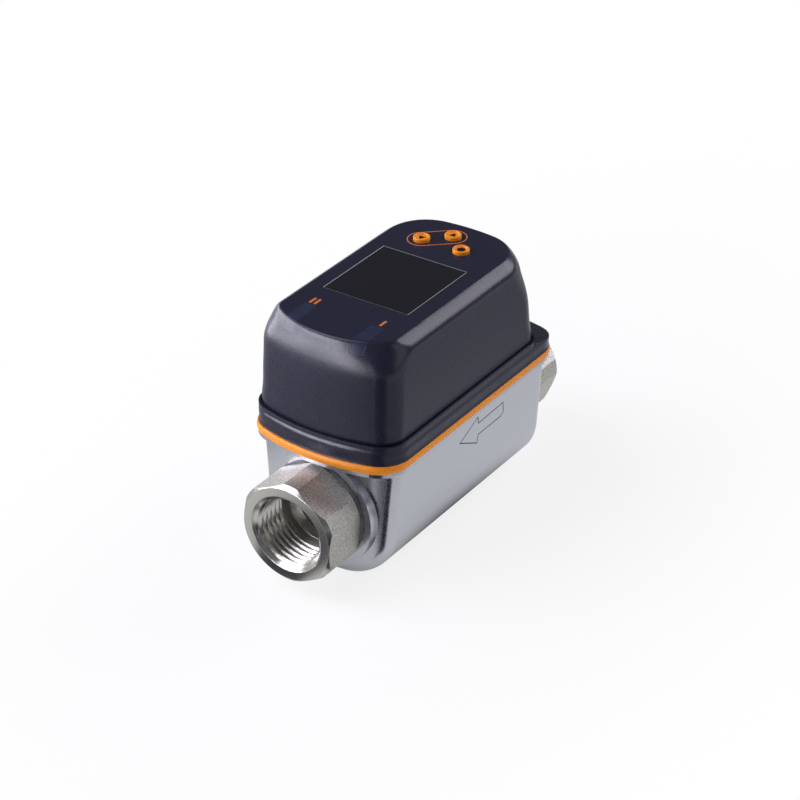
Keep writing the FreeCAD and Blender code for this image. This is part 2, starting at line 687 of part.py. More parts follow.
def collar_solid():
    """The ledge round the tower's foot; behind the tower its top slopes down to the rear."""
    outline = Outline(COLLAR_HALF_WIDTH, COLLAR_FRONT, COLLAR_REAR, END_BOW_RADIUS, END_BOW_RADIUS,
                      SEAL_CORNER_RADIUS, SEAL_CORNER_RADIUS)
    collar = loft([
        (outline, COLLAR_LEVEL),
        (outline.inset(COLLAR_EDGE / 4.0), mix(COLLAR_LEVEL, DECK_LEVEL, 0.5)),
        (outline.inset(COLLAR_EDGE / 2.0), DECK_LEVEL - COLLAR_EDGE),
        (outline.inset(COLLAR_EDGE), DECK_LEVEL),
    ])
    run = COLLAR_REAR + SEAL_THICKNESS - DECK_SLOPE_START
    points = [
        FreeCAD.Vector(-COLLAR_REAR, DECK_SLOPE_START, DECK_LEVEL),
        FreeCAD.Vector(-COLLAR_REAR, DECK_SLOPE_START + run, DECK_LEVEL - DECK_SLOPE * run),
        FreeCAD.Vector(-COLLAR_REAR, DECK_SLOPE_START + run, DECK_LEVEL + COLLAR_HEIGHT),
        FreeCAD.Vector(-COLLAR_REAR, DECK_SLOPE_START, DECK_LEVEL + COLLAR_HEIGHT),
    ]
    wedge = Part.Face(Part.makePolygon(points + points[:1])).extrude(X_AXIS * (2.0 * COLLAR_REAR))
    return collar.cut(wedge)


def bead_solid():
    """The raised bead round the tower's foot, with a slit between it and the wall."""
    foot = tower_outline(DECK_LEVEL)
    top = DECK_LEVEL + BEAD_HEIGHT
    bead = foot.inset(-SLIT_WIDTH - BEAD_WIDTH).prism(DECK_LEVEL - COLLAR_HEIGHT / 2.0, top)
    return bead.cut(foot.inset(-SLIT_WIDTH).prism(top - SLIT_DEPTH, top + OVERCUT))


def hood_cavity():
    """The room inside the hood: the tower's, and the lower one inside the skirt."""
    foot = COLLAR_LEVEL - DECK_THICKNESS / 4.0
    tower_room = tower_solid(foot, CEILING_LEVEL, HOOD_WALL)
    skirt_room = skirt_outline().inset(SKIRT_WALL).prism(RIM_LEVEL - 2.0 * SKIRT_DEPTH, foot)
    return tower_room.fuse(skirt_room)


def led_x():
    return LED_PITCH / 2.0


def led_window_pocket():
    """The shallow pocket for one light window, open past the hood's top and front."""
    middle = led_x()
    half = LED_WINDOW_WIDTH / 2.0
    block = box((middle - half, middle + half), (TOWER_FRONT - OVERCUT, LED_WINDOW_REAR),
                (LED_WINDOW_LOW, CROWN_HEIGHT + OVERCUT))
    floor = tower_solid(MAIN_BOARD_LEVEL, CROWN_HEIGHT - LED_WINDOW_THICKNESS, LED_WINDOW_THICKNESS)
    return block.cut(floor)


def make_led_window(tower):
    """A smoked light window that follows the hood over its front edge, with a stem to its lamp."""
    stem_top = CROWN_HEIGHT - LED_WINDOW_THICKNESS / 2.0
    stem = led_stem(LED_STEM, DISPLAY_BOARD_TOP + LED_HEIGHT + CLEARANCE, stem_top)
    return led_window_pocket().common(tower).fuse(stem).removeSplitter()


def led_stem(width, low, high):
    half = width / 2.0
    return box((led_x() - half, led_x() + half), (LED_STEM_Y - half, LED_STEM_Y + half), (low, high))


def mirrored(shape):
    return shape.mirror(FreeCAD.Vector(0, 0, 0), X_AXIS)


def make_hood(tower):
    """The moulded hood: tower, collar, bead and skirt round a hollow, with its openings."""
    skirt = skirt_outline().prism(RIM_LEVEL - SKIRT_DEPTH, COLLAR_LEVEL + COLLAR_EDGE)
    arch = pipe_cylinder(TUBE_FLANGE_DIAMETER + 2.0 * SKIRT_GAP, -TUBE_END_Y, TUBE_END_Y)
    skirt = skirt.cut(arch)
    boss_foot = CONNECTOR_BOSS_FACE - CONNECTOR_BOSS_DEPTH
    boss = pipe_cylinder(CONNECTOR_BOSS_DIAMETER, boss_foot, CONNECTOR_BOSS_FACE, CONNECTOR_HEIGHT)
    hood = collar_solid().fuse([bead_solid(), skirt]).fuse(tower).fuse(boss)
    hood = hood.cut(hood_cavity())
    post_top = CEILING_LEVEL + CROWN_WALL / 4.0
    posts = [upright_cylinder(POST_DIAMETER, DISPLAY_BOARD_TOP, post_top, x, y) for x, y in post_places()]
    hood = hood.fuse(posts)
    hood = hood.cut(hood_openings())
    stem_top = CROWN_HEIGHT - LED_WINDOW_THICKNESS
    stem_hole = led_stem(LED_STEM + 2.0 * CLEARANCE, DISPLAY_BOARD_TOP, stem_top)
    pocket = led_window_pocket()
    hood = hood.cut([pocket, mirrored(pocket), stem_hole, mirrored(stem_hole)])
    return hood.removeSplitter()


def hood_openings():
    """Cutters for the display recess, button holes, stud holes and connector hole."""
    half_width = WINDOW_WIDTH / 2.0
    half_length = WINDOW_LENGTH / 2.0
    below = CEILING_LEVEL - OVERCUT
    above = CROWN_HEIGHT + OVERCUT
    recess = display_block(half_width + CLEARANCE / 2.0, half_length + CLEARANCE / 2.0,
                           CROWN_HEIGHT - WINDOW_THICKNESS, above)
    view = display_block(half_width - WINDOW_LEDGE, half_length - WINDOW_LEDGE, below, CROWN_HEIGHT)
    cutters = [recess, view]
    for x, y in button_places().values():
        cutters.append(upright_cylinder(BUTTON_DIAMETER + 2.0 * BUTTON_GAP, below, above, x, y))
    stud_end = CEILING_LEVEL + OVERCUT
    for x, y in post_places():
        cutters.append(upright_cylinder(STUD_DIAMETER + CLEARANCE, DISPLAY_BOARD_TOP, stud_end, x, y))
    stem_hole = CONNECTOR_STEM_DIAMETER + 2.0 * CLEARANCE
    pocket_face = CONNECTOR_BOSS_FACE - HOOD_WALL
    cutters.append(pipe_cylinder(stem_hole, MAIN_BOARD_REAR, CONNECTOR_BOSS_FACE, CONNECTOR_HEIGHT))
    pocket = pipe_cylinder(CONNECTOR_NUT_POCKET_DIAMETER, MAIN_BOARD_REAR, pocket_face, CONNECTOR_HEIGHT)
    cutters.append(pocket)
    return cutters


def display_block(half_width, half_length, low, high):
    y_range = (DISPLAY_CENTRE_Y - half_length, DISPLAY_CENTRE_Y + half_length)
    return box((-half_width, half_width), y_range, (low, high))


def make_display_window():
    """The flush glass-like cover of the display, with a fine bevelled edge."""
    foot = CROWN_HEIGHT - WINDOW_THICKNESS
    plate = display_block(WINDOW_WIDTH / 2.0, WINDOW_LENGTH / 2.0, foot, CROWN_HEIGHT)
    top_edges = [edge for edge in plate.Edges if edge.CenterOfMass.z > CROWN_HEIGHT - WINDOW_EDGE]
    return plate.makeChamfer(WINDOW_EDGE, top_edges)


def make_display_module():
    """The display itself: a frame on the board with its glass under the window."""
    frame_top = CEILING_LEVEL - GLASS_GAP
    glass_top = CROWN_HEIGHT - WINDOW_THICKNESS - GLASS_GAP
    frame = display_block(MODULE_WIDTH / 2.0, MODULE_LENGTH / 2.0, DISPLAY_BOARD_TOP, frame_top)
    half_width = WINDOW_WIDTH / 2.0 - WINDOW_LEDGE - CLEARANCE
    half_length = WINDOW_LENGTH / 2.0 - WINDOW_LEDGE - CLEARANCE
    glass = display_block(half_width, half_length, CEILING_LEVEL - OVERCUT, glass_top)
    return frame.fuse(glass).removeSplitter()


def board_holes(low, high):
    hole = STUD_DIAMETER + 2.0 * CLEARANCE
    return [upright_cylinder(hole, low, high, x, y) for x, y in post_places()]


def make_display_board():
    board = rounded_plate(DISPLAY_BOARD_HALF_WIDTH, DISPLAY_BOARD_FRONT, DISPLAY_BOARD_REAR, BOARD_CORNER,
                          DISPLAY_BOARD_LEVEL, DISPLAY_BOARD_TOP)
    return board.cut(board_holes(DISPLAY_BOARD_LEVEL, DISPLAY_BOARD_TOP))


def make_main_board():
    board = rounded_plate(MAIN_BOARD_HALF_WIDTH, MAIN_BOARD_FRONT, MAIN_BOARD_REAR, BOARD_CORNER,
                          MAIN_BOARD_LEVEL, MAIN_BOARD_TOP)
    return board.cut(board_holes(MAIN_BOARD_LEVEL, MAIN_BOARD_TOP))


def make_board_spacers():
    """Four hexagon spacers with a stud up into the hood and a tapped foot."""
    spacers = []
    for x, y in post_places():
        body = upright_hexagon(SPACER_ACROSS_FLATS, MAIN_BOARD_TOP, DISPLAY_BOARD_LEVEL, x, y)
        stud = upright_cylinder(STUD_DIAMETER, DISPLAY_BOARD_LEVEL, CEILING_LEVEL, x, y)
        tapped_end = MAIN_BOARD_TOP + TAPPED_DEPTH
        tapped = upright_cylinder(STUD_DIAMETER + CLEARANCE, MAIN_BOARD_TOP, tapped_end, x, y)
        spacers.append(body.fuse(stud).cut(tapped).removeSplitter())
    return Part.makeCompound(spacers)


def make_board_screws():
    screws = []
    for x, y in post_places():
        head_foot = MAIN_BOARD_LEVEL - SCREW_HEAD_HEIGHT
        head = upright_cylinder(SCREW_HEAD_DIAMETER, head_foot, MAIN_BOARD_LEVEL, x, y)
        shank = upright_cylinder(STUD_DIAMETER, MAIN_BOARD_LEVEL, MAIN_BOARD_TOP + SCREW_REACH, x, y)
        screws.append(head.fuse(shank).removeSplitter())
    return Part.makeCompound(screws)


def make_board_header():
    """The upright plug strip that joins the two boards."""
    x_range = (HEADER_X - HEADER_WIDTH / 2.0, HEADER_X + HEADER_WIDTH / 2.0)
    y_range = (DISPLAY_CENTRE_Y - HEADER_LENGTH / 2.0, DISPLAY_CENTRE_Y + HEADER_LENGTH / 2.0)
    return box(x_range, y_range, (MAIN_BOARD_TOP, DISPLAY_BOARD_LEVEL))


def make_status_led():
    half = LED_SIZE / 2.0
    return box((led_x() - half, led_x() + half), (LED_STEM_Y - half, LED_STEM_Y + half),
               (DISPLAY_BOARD_TOP, DISPLAY_BOARD_TOP + LED_HEIGHT))


def flange_top():
    return CEILING_LEVEL - CLEARANCE


def flange_foot():
    return flange_top() - BUTTON_FLANGE_THICKNESS


def arrowhead(turn, x, y, low, high):
    """An upright three-sided prism with one corner pointing along a direction in degrees."""
    middle = FreeCAD.Vector(x, y, low)
    turns = [math.radians(turn + 120.0 * step) for step in range(3)]
    reaches = [X_AXIS * math.cos(one) + Y_AXIS * math.sin(one) for one in turns]
    points = [middle + reach * SYMBOL_RADIUS for reach in reaches]
    return Part.Face(Part.makePolygon(points + points[:1])).extrude(Z_AXIS * (high - low))


def make_button(name):
    """A round push button with a retaining flange and a sunk symbol in its top."""
    x, y = button_places()[name]
    top = CROWN_HEIGHT + BUTTON_PROUD
    cap = upright_cylinder(BUTTON_DIAMETER, flange_foot(), top, x, y)
    rim = [edge for edge in rings(cap) if edge.Vertexes[0].Z > top - SYMBOL_DEPTH]
    cap = cap.makeFillet(BUTTON_EDGE, rim)
    flange = upright_cylinder(BUTTON_FLANGE_DIAMETER, flange_foot(), flange_top(), x, y)
    symbols = {
        "left": arrowhead(TOWARDS_FRONT, x, y, top - SYMBOL_DEPTH, top + OVERCUT),
        "middle": arrowhead(TOWARDS_REAR, x, y, top - SYMBOL_DEPTH, top + OVERCUT),
        "right": upright_cylinder(2.0 * SYMBOL_RADIUS, top - SYMBOL_DEPTH, top + OVERCUT, x, y),
    }
    return cap.fuse(flange).cut(symbols[name]).removeSplitter()


def make_switch_case(name):
    """The square case of a tact switch on the display board."""
    x, y = button_places()[name]
    half = SWITCH_WIDTH / 2.0
    top = DISPLAY_BOARD_TOP + SWITCH_HEIGHT
    case = box((x - half, x + half), (y - half, y + half), (DISPLAY_BOARD_TOP, top))
    well = upright_cylinder(PLUNGER_DIAMETER + 2.0 * CLEARANCE, DISPLAY_BOARD_TOP + CLEARANCE, top, x, y)
    return case.cut(well)


def make_switch_plunger(name):
    """The plunger of a tact switch, which travels with its button."""
    x, y = button_places()[name]
    foot = DISPLAY_BOARD_TOP + 2.0 * CLEARANCE + BUTTON_TRAVEL
    return upright_cylinder(PLUNGER_DIAMETER, foot, flange_foot(), x, y)


def make_measuring_tube():
    """The pipe insert: a tube with end flanges, sockets for both fittings and a flat pad on top."""
    outer = TUBE_DIAMETER / 2.0
    flange = TUBE_FLANGE_DIAMETER / 2.0
    shoulder = TUBE_END_Y - TUBE_FLANGE_THICKNESS
    body = turned([
        (-TUBE_END_Y, 0.0),
        (-TUBE_END_Y, flange),
        (-shoulder, flange),
        (-shoulder, outer),
        (shoulder, outer),
        (shoulder, flange),
        (TUBE_END_Y, flange),
        (TUBE_END_Y, 0.0),
    ])
    pad = rounded_plate(PAD_WIDTH / 2.0, PAD_FRONT, PAD_REAR, PAD_CORNER, AXIS_HEIGHT, PAD_LEVEL)
    body = body.fuse(pad).removeSplitter()
    cutters = [pipe_cylinder(BORE_DIAMETER, -END_Y, END_Y)]
    socket = pipe_cylinder(SPIGOT_DIAMETER + CLEARANCE, SOCKET_Y, END_Y)
    neck = pipe_cylinder(NOSE_DIAMETER + CLEARANCE, NOSE_Y, END_Y)
    cutters += [socket, neck, turn_end_for_end(socket), turn_end_for_end(neck)]
    for y in (BLUFF_Y, SENSOR_Y, PROBE_Y):
        cutters.append(upright_cylinder(PLUG_DIAMETER + CLEARANCE, PLUG_LEVEL, PAD_LEVEL, 0.0, y))
    for y in (SENSOR_Y, PROBE_Y):
        cutters.append(upright_cylinder(NECK_DIAMETER + CLEARANCE, AXIS_HEIGHT, PAD_LEVEL, 0.0, y))
    cutters.append(bluff_prism(CLEARANCE / 2.0, bluff_seat_floor(), PAD_LEVEL))
    for x, y in clamp_screw_places():
        low = PAD_LEVEL - CLAMP_SCREW_LENGTH + CLAMP_THICKNESS
        cutters.append(upright_cylinder(CLAMP_SCREW_DIAMETER + CLEARANCE, low, PAD_LEVEL, x, y))
    return body.cut(cutters)


def clamp_screw_places():
    low = (BLUFF_Y + SENSOR_Y) / 2.0
    high = (SENSOR_Y + PROBE_Y) / 2.0
    return [(side * CLAMP_SCREW_X, y) for side in (-1.0, 1.0) for y in (low, high)]


def bluff_seat_floor():
    """The foot of the shedder bar's seat, in the wall below the bore."""
    return AXIS_HEIGHT - BORE_DIAMETER / 2.0 - BLUFF_SEAT


def bluff_prism(grow, low, high):
    """The shedder bar: an upright prism, broad on the inlet side and narrow behind."""
    wide = BLUFF_WIDTH / 2.0 + grow
    narrow = BLUFF_TAIL_WIDTH / 2.0 + grow
    front = BLUFF_Y - BLUFF_LENGTH / 2.0 - grow
    rear = BLUFF_Y + BLUFF_LENGTH / 2.0 + grow
    points = [
        FreeCAD.Vector(-narrow, front, low),
        FreeCAD.Vector(narrow, front, low),
        FreeCAD.Vector(wide, rear, low),
        FreeCAD.Vector(-wide, rear, low),
    ]
    return Part.Face(Part.makePolygon(points + points[:1])).extrude(Z_AXIS * (high - low))


def plug_head(y):
    """The round head that sits on its seal in the pad."""
    return upright_cylinder(PLUG_DIAMETER, PLUG_LEVEL + PLUG_SEAL_SECTION, PAD_LEVEL, 0.0, y)


def make_bluff_body():
    bar = bluff_prism(0.0, bluff_seat_floor() + CLEARANCE, PLUG_LEVEL + 2.0 * PLUG_SEAL_SECTION)
    return bar.fuse(plug_head(BLUFF_Y)).removeSplitter()


def lead_stub(y):
    return upright_cylinder(STUB_DIAMETER, PAD_LEVEL, CLAMP_TOP + STUB_HEIGHT, 0.0, y)


def make_vortex_sensor():
    """The piezo sensor: a paddle in the flow, a neck, a sealed head and a lead stub."""
    crown = AXIS_HEIGHT + BORE_DIAMETER / 2.0
    half_length = PADDLE_LENGTH / 2.0
    half_thickness = PADDLE_THICKNESS / 2.0
    paddle = box((-half_thickness, half_thickness), (SENSOR_Y - half_length, SENSOR_Y + half_length),
                 (crown - PADDLE_REACH, crown))
    neck = upright_cylinder(NECK_DIAMETER, crown - OVERCUT, PAD_LEVEL, 0.0, SENSOR_Y)
    return paddle.fuse([neck, plug_head(SENSOR_Y), lead_stub(SENSOR_Y)]).removeSplitter()


def make_temperature_probe():
    """The temperature probe: a slim finger in the flow below its sealed head."""
    crown = AXIS_HEIGHT + BORE_DIAMETER / 2.0
    finger = upright_cylinder(PROBE_DIAMETER, crown - PROBE_REACH, crown, 0.0, PROBE_Y)
    tip = [edge for edge in rings(finger) if edge.Vertexes[0].Z < crown - OVERCUT]
    finger = finger.makeFillet(PROBE_TIP_RADIUS, tip)
    neck = upright_cylinder(NECK_DIAMETER, crown - OVERCUT, PAD_LEVEL, 0.0, PROBE_Y)
    return finger.fuse([neck, plug_head(PROBE_Y), lead_stub(PROBE_Y)]).removeSplitter()


def make_plug_seal(y):
    """The ring under a plug's head, round its neck."""
    middle = (PLUG_DIAMETER - PLUG_SEAL_SECTION) / 2.0
    place = FreeCAD.Vector(0, y, PLUG_LEVEL + PLUG_SEAL_SECTION / 2.0)
    return Part.makeTorus(middle, PLUG_SEAL_SECTION / 2.0, place, Z_AXIS)


def make_sensor_clamp():
    """The plate that holds the three plugs down, with holes for the leads and screws."""
    plate = rounded_plate(PAD_WIDTH / 2.0, PAD_FRONT, PAD_REAR, PAD_CORNER, PAD_LEVEL, CLAMP_TOP)
    holes = []
    for y in (SENSOR_Y, PROBE_Y):
        holes.append(upright_cylinder(STUB_DIAMETER + 2.0 * CLEARANCE, PAD_LEVEL, CLAMP_TOP, 0.0, y))
    for x, y in clamp_screw_places():
        holes.append(upright_cylinder(CLAMP_SCREW_DIAMETER + 2.0 * CLEARANCE, PAD_LEVEL, CLAMP_TOP, x, y))
    return plate.cut(holes)


def make_clamp_screws():
    screws = []
    foot = CLAMP_TOP - CLAMP_SCREW_LENGTH + CLEARANCE
    for x, y in clamp_screw_places():
        shank = upright_cylinder(CLAMP_SCREW_DIAMETER, foot, CLAMP_TOP, x, y)
        head = upright_cylinder(CLAMP_HEAD_DIAMETER, CLAMP_TOP, CLAMP_TOP + CLAMP_HEAD_HEIGHT, x, y)
        screws.append(shank.fuse(head).removeSplitter())
    return Part.makeCompound(screws)


def make_lead(y):
    """A short straight lead from a plug up to the main board."""
    return upright_cylinder(LEAD_DIAMETER, CLAMP_TOP + STUB_HEIGHT, MAIN_BOARD_LEVEL, 0.0, y)


def make_connector_shell():
    """The connector's metal shell: threaded barrel, flange and stem through the hood."""
    flange_y = CONNECTOR_BOSS_FACE + CONNECTOR_FLANGE_THICKNESS
    end_y = flange_y + CONNECTOR_REACH
    edge = CONNECTOR_THREAD_DIAMETER / 2.0
    body = turned([
        (CONNECTOR_BOSS_FACE - CONNECTOR_STEM_LENGTH, 0.0),
        (CONNECTOR_BOSS_FACE - CONNECTOR_STEM_LENGTH, CONNECTOR_STEM_DIAMETER / 2.0),
        (CONNECTOR_BOSS_FACE, CONNECTOR_STEM_DIAMETER / 2.0),
        (CONNECTOR_BOSS_FACE, CONNECTOR_FLANGE_DIAMETER / 2.0),
        (flange_y, CONNECTOR_FLANGE_DIAMETER / 2.0),
        (flange_y, edge),
        (end_y - CONNECTOR_EDGE, edge),
        (end_y, edge - CONNECTOR_EDGE),
        (end_y, 0.0),
    ], CONNECTOR_HEIGHT)
    cavity = pipe_cylinder(CONNECTOR_CAVITY_DIAMETER, CONNECTOR_BOSS_FACE - CONNECTOR_STEM_LENGTH, end_y,
                           CONNECTOR_HEIGHT)
    inner = (CONNECTOR_SEAL_DIAMETER - CONNECTOR_SEAL_SECTION) / 2.0
    outer = (CONNECTOR_SEAL_DIAMETER + CONNECTOR_SEAL_SECTION) / 2.0
    groove_floor = CONNECTOR_BOSS_FACE + CONNECTOR_SEAL_SECTION
    groove = turned([
        (CONNECTOR_BOSS_FACE, inner),
        (groove_floor, inner),
        (groove_floor, outer),
        (CONNECTOR_BOSS_FACE, outer),
    ], CONNECTOR_HEIGHT)
    return body.cut([cavity, groove])


def make_connector_seal():
    middle = CONNECTOR_BOSS_FACE + CONNECTOR_SEAL_SECTION / 2.0
    return ring_about_pipe(CONNECTOR_SEAL_DIAMETER, CONNECTOR_SEAL_SECTION, middle, CONNECTOR_HEIGHT)


def make_connector_nut():
    """The nut on the stem, inside the hood."""
    end = CONNECTOR_BOSS_FACE - HOOD_WALL
    nut = pipe_hexagon(CONNECTOR_NUT_ACROSS_FLATS, end - CONNECTOR_NUT_THICKNESS, end, CONNECTOR_HEIGHT,
                       CONNECTOR_NUT_CLOCKING)
    return nut.cut(pipe_cylinder(CONNECTOR_STEM_DIAMETER + CLEARANCE, end - CONNECTOR_NUT_THICKNESS, end,
                                 CONNECTOR_HEIGHT))


def contact_places():
    pitch = 360.0 / CONTACT_COUNT
    turns = [math.radians(CONTACT_CLOCKING + pitch * step) for step in range(CONTACT_COUNT)]
    radius = CONTACT_CIRCLE_DIAMETER / 2.0
    return [(radius * math.cos(turn), CONNECTOR_HEIGHT + radius * math.sin(turn)) for turn in turns]


def make_connector_insert():
    """The plastic contact carrier inside the shell, with its coding key."""
    start = CONNECTOR_BOSS_FACE - CONNECTOR_STEM_LENGTH
    floor = CONNECTOR_BOSS_FACE + CONNECTOR_FLOOR
    body = pipe_cylinder(CONNECTOR_CAVITY_DIAMETER, start, floor, CONNECTOR_HEIGHT)
    top = CONNECTOR_HEIGHT + CONNECTOR_CAVITY_DIAMETER / 2.0 - CLEARANCE
    key = box((-KEY_WIDTH / 2.0, KEY_WIDTH / 2.0), (start, floor + CONTACT_LENGTH), (top - KEY_HEIGHT, top))
    holes = [pipe_cylinder(CONTACT_DIAMETER, start, floor, height, x) for x, height in contact_places()]
    return body.fuse(key).removeSplitter().cut(holes)


def make_contact(number):
    x, height = contact_places()[number]
    start = CONNECTOR_BOSS_FACE - CONNECTOR_STEM_LENGTH
    end = CONNECTOR_BOSS_FACE + CONNECTOR_FLOOR + CONTACT_LENGTH
    pin = pipe_cylinder(CONTACT_DIAMETER, start, end, height, x)
    tip = [edge for edge in rings(pin) if edge.Vertexes[0].Y > end - CONTACT_DIAMETER]
    return pin.makeFillet(CONTACT_TIP_RADIUS, tip)


def make_connector_lead():
    """The lead from the back of the connector down to the main board."""
    start = CONNECTOR_BOSS_FACE - CONNECTOR_STEM_LENGTH
    drop = CONNECTOR_HEIGHT - MAIN_BOARD_TOP
    middle_of_turn = drop * math.sqrt(0.5)
    first = FreeCAD.Vector(0, start, CONNECTOR_HEIGHT)
    turn_start = first - Y_AXIS * CLEARANCE
    turn_middle = FreeCAD.Vector(0, turn_start.y - middle_of_turn, MAIN_BOARD_TOP + middle_of_turn)
    foot = FreeCAD.Vector(0, turn_start.y - drop, MAIN_BOARD_TOP)
    straight = Part.LineSegment(first, turn_start).toShape()
    turn = Part.Arc(turn_start, turn_middle, foot).toShape()
    section = Part.Wire([Part.makeCircle(LEAD_DIAMETER / 2.0, first, Y_AXIS)])
    return Part.Wire([straight, turn]).makePipeShell([section], True, True)


def build():
    """Every piece by node name."""
    tower = tower_solid(COLLAR_LEVEL + COLLAR_EDGE, CROWN_HEIGHT, 0.0)
    led_window = make_led_window(tower)
    pieces = {
        "lower_housing": make_lower_housing(),
        "outlet_fitting": turn_end_for_end(make_fitting(OUTLET_CLOCKING)),
        "inlet_fitting": make_fitting(INLET_CLOCKING),
        "outlet_wall_seal": turn_end_for_end(make_wall_seal()),
        "inlet_wall_seal": make_wall_seal(),
        "outlet_o_ring": turn_end_for_end(make_fitting_o_ring()),
        "inlet_o_ring": make_fitting_o_ring(),
        "measuring_tube": make_measuring_tube(),
        "bluff_body": make_bluff_body(),
        "bluff_body_seal": make_plug_seal(BLUFF_Y),
        "vortex_sensor": make_vortex_sensor(),
        "vortex_sensor_seal": make_plug_seal(SENSOR_Y),
        "temperature_probe": make_temperature_probe(),
        "temperature_probe_seal": make_plug_seal(PROBE_Y),
        "sensor_clamp": make_sensor_clamp(),
        "clamp_screws": make_clamp_screws(),
        "sensor_lead": make_lead(SENSOR_Y),
        "probe_lead": make_lead(PROBE_Y),
        "housing_seal": make_housing_seal(),
        "hood": make_hood(tower),
        "display_window": make_display_window(),
        "display_module": make_display_module(),
        "display_board": make_display_board(),
        "main_board": make_main_board(),
        "board_spacers": make_board_spacers(),
        "board_screws": make_board_screws(),
        "board_header": make_board_header(),
        "status_led_right": make_status_led(),
        "status_led_left": mirrored(make_status_led()),
        "led_window_right": led_window,
        "led_window_left": mirrored(led_window),
        "connector_shell": make_connector_shell(),
        "connector_insert": make_connector_insert(),
        "connector_seal": make_connector_seal(),
        "connector_nut": make_connector_nut(),
        "connector_lead": make_connector_lead(),
    }
    for number in range(CONTACT_COUNT):
        pieces["connector_contact_%d" % (number + 1)] = make_contact(number)
    for name in button_places():
        pieces["button_" + name] = make_button(name)
        pieces["switch_case_" + name] = make_switch_case(name)
        pieces["switch_plunger_" + name] = make_switch_plunger(name)
    return pieces


def main():
    os.makedirs("parts", exist_ok=True)
    for name, shape in build().items():
        shape.exportStep("parts/%s.step" % name)
        print(name, "solids", len(shape.Solids), "valid", shape.isValid(), "volume %.1f" % shape.Volume)


main()
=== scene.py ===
"""Finishes, threads and printed marks of a compact vortex flow meter, and the studio it is shown in.

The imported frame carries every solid. This file gives each solid the finish of its real material,
adds the forms that are too fine for the solids, and sets up the floor, the lamps and the camera.
Lengths are metres. X runs across the meter, Y along the pipe and Z up.
"""

import json
import math

import bmesh
import bpy
import numpy as np
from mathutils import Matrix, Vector
from mathutils.bvhtree import BVHTree


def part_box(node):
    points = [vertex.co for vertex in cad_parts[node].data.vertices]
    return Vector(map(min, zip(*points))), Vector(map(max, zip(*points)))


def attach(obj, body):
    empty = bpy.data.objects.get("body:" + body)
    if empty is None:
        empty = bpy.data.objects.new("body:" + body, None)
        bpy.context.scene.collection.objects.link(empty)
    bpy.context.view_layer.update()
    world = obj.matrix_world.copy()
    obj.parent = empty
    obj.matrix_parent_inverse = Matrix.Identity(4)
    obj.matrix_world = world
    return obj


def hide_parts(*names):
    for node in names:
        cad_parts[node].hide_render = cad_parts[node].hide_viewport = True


bl_info = {
    "name": "Vortex flow meter",
    "version": (1, 0, 0),
    "blender": (4, 5, 0),
    "location": "3D View > Sidebar > Flow meter",
    "description": "Finishes and fine forms of a compact inline flow meter",
    "category": "Object",
}

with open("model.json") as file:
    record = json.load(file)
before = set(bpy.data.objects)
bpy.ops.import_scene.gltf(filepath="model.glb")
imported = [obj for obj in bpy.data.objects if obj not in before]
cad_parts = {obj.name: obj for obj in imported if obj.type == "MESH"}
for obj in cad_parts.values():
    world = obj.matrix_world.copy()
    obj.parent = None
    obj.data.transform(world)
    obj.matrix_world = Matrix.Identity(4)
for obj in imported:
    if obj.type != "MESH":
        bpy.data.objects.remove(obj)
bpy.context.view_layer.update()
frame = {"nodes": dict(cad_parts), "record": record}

MM = 0.001
SIDEBAR = "Flow meter"
WHITE = (1.0, 1.0, 1.0, 1.0)

# Meshes: points this close are one, and edges that turn by more than this stay sharp
WELD = 0.0005 * MM
SMOOTH_LIMIT = math.radians(35.0)

# A mark starts this far under the surface that it lies on
BOTTOM_OF_MARK = 0.05 * MM

# Bars behind the light windows: two on the left, whose middles lie a gap apart, and one on the right
BAR_WIDTH = 0.72 * MM
BAR_LENGTH = 2.9 * MM
BAR_CORNER = 0.12 * MM
BAR_GAP = 1.45 * MM
LEFT_BARS_X = -10.6 * MM
RIGHT_BAR_X = 10.4 * MM
BARS_BEHIND_WINDOW = 2.3 * MM

# Loop about the left and the middle button, and how far it lies off their middles
LOOP_RADIUS = 3.78 * MM
LOOP_SHIFT = np.array([-0.15, 0.08]) * MM
LOOP_STEPS = 48

# Button: flange height, edge radius, how far in from the side the dish begins, and how far its wall runs
BUTTON_FLANGE = 0.8 * MM
BUTTON_EDGE = 0.3 * MM
DISH_INSET = 0.5 * MM
DISH_SLOPE = 0.4 * MM
EDGE_STEPS = 7
SLOPE_STEPS = 9
BUTTON_COLUMNS = 64

# Symbols in the buttons: number of corners, heading of the first one in degrees, and reach
SYMBOLS = {"left": (3, -90.0, 1.22 * MM), "middle": (3, 90.0, 1.22 * MM), "right": (40, 0.0, 1.15 * MM)}
# how deep a symbol's dark plate, painted shade for the symbol's hollow, goes into the floor of the dish, and
# how far it stands over it
SHADE_PLATE_DEPTH = 0.2 * MM
SHADE_PLATE_HEIGHT = 0.012 * MM

# Display rim: width, height of its outer and its inner edge, and how far it laps over the hood
RIM_WIDTH = 0.14 * MM
RIM_HEIGHT = 0.14 * MM
RIM_INNER_HEIGHT = 0.005 * MM
RIM_LAP = 0.05 * MM

# Arrow outline on the side of the lower housing, as (along the pipe, up) corners, and its etch's height
ARROW = np.array([
    (-6.1, 28.2), (2.0, 32.3), (2.6, 30.1), (14.6, 30.6),
    (15.3, 27.4), (14.1, 26.4), (3.0, 26.3), (2.7, 23.7),
]) * MM
ETCH_HEIGHT = 0.01 * MM
# the ray that finds the wall behind the arrow starts this far outside it
RAY_START = 10.0 * MM

# Threads: the nearer this is to 1, the sharper are crest and root
FLANK_SHARE = 0.97
# pipe thread: how far its root stands off the bore's wall, and how deep its sleeve sits in the metal
SLEEVE_OFF_WALL = 0.015 * MM
SLEEVE_IN_WALL = 0.04 * MM
SLEEVE_ROWS = 150
SLEEVE_COLUMNS = 120

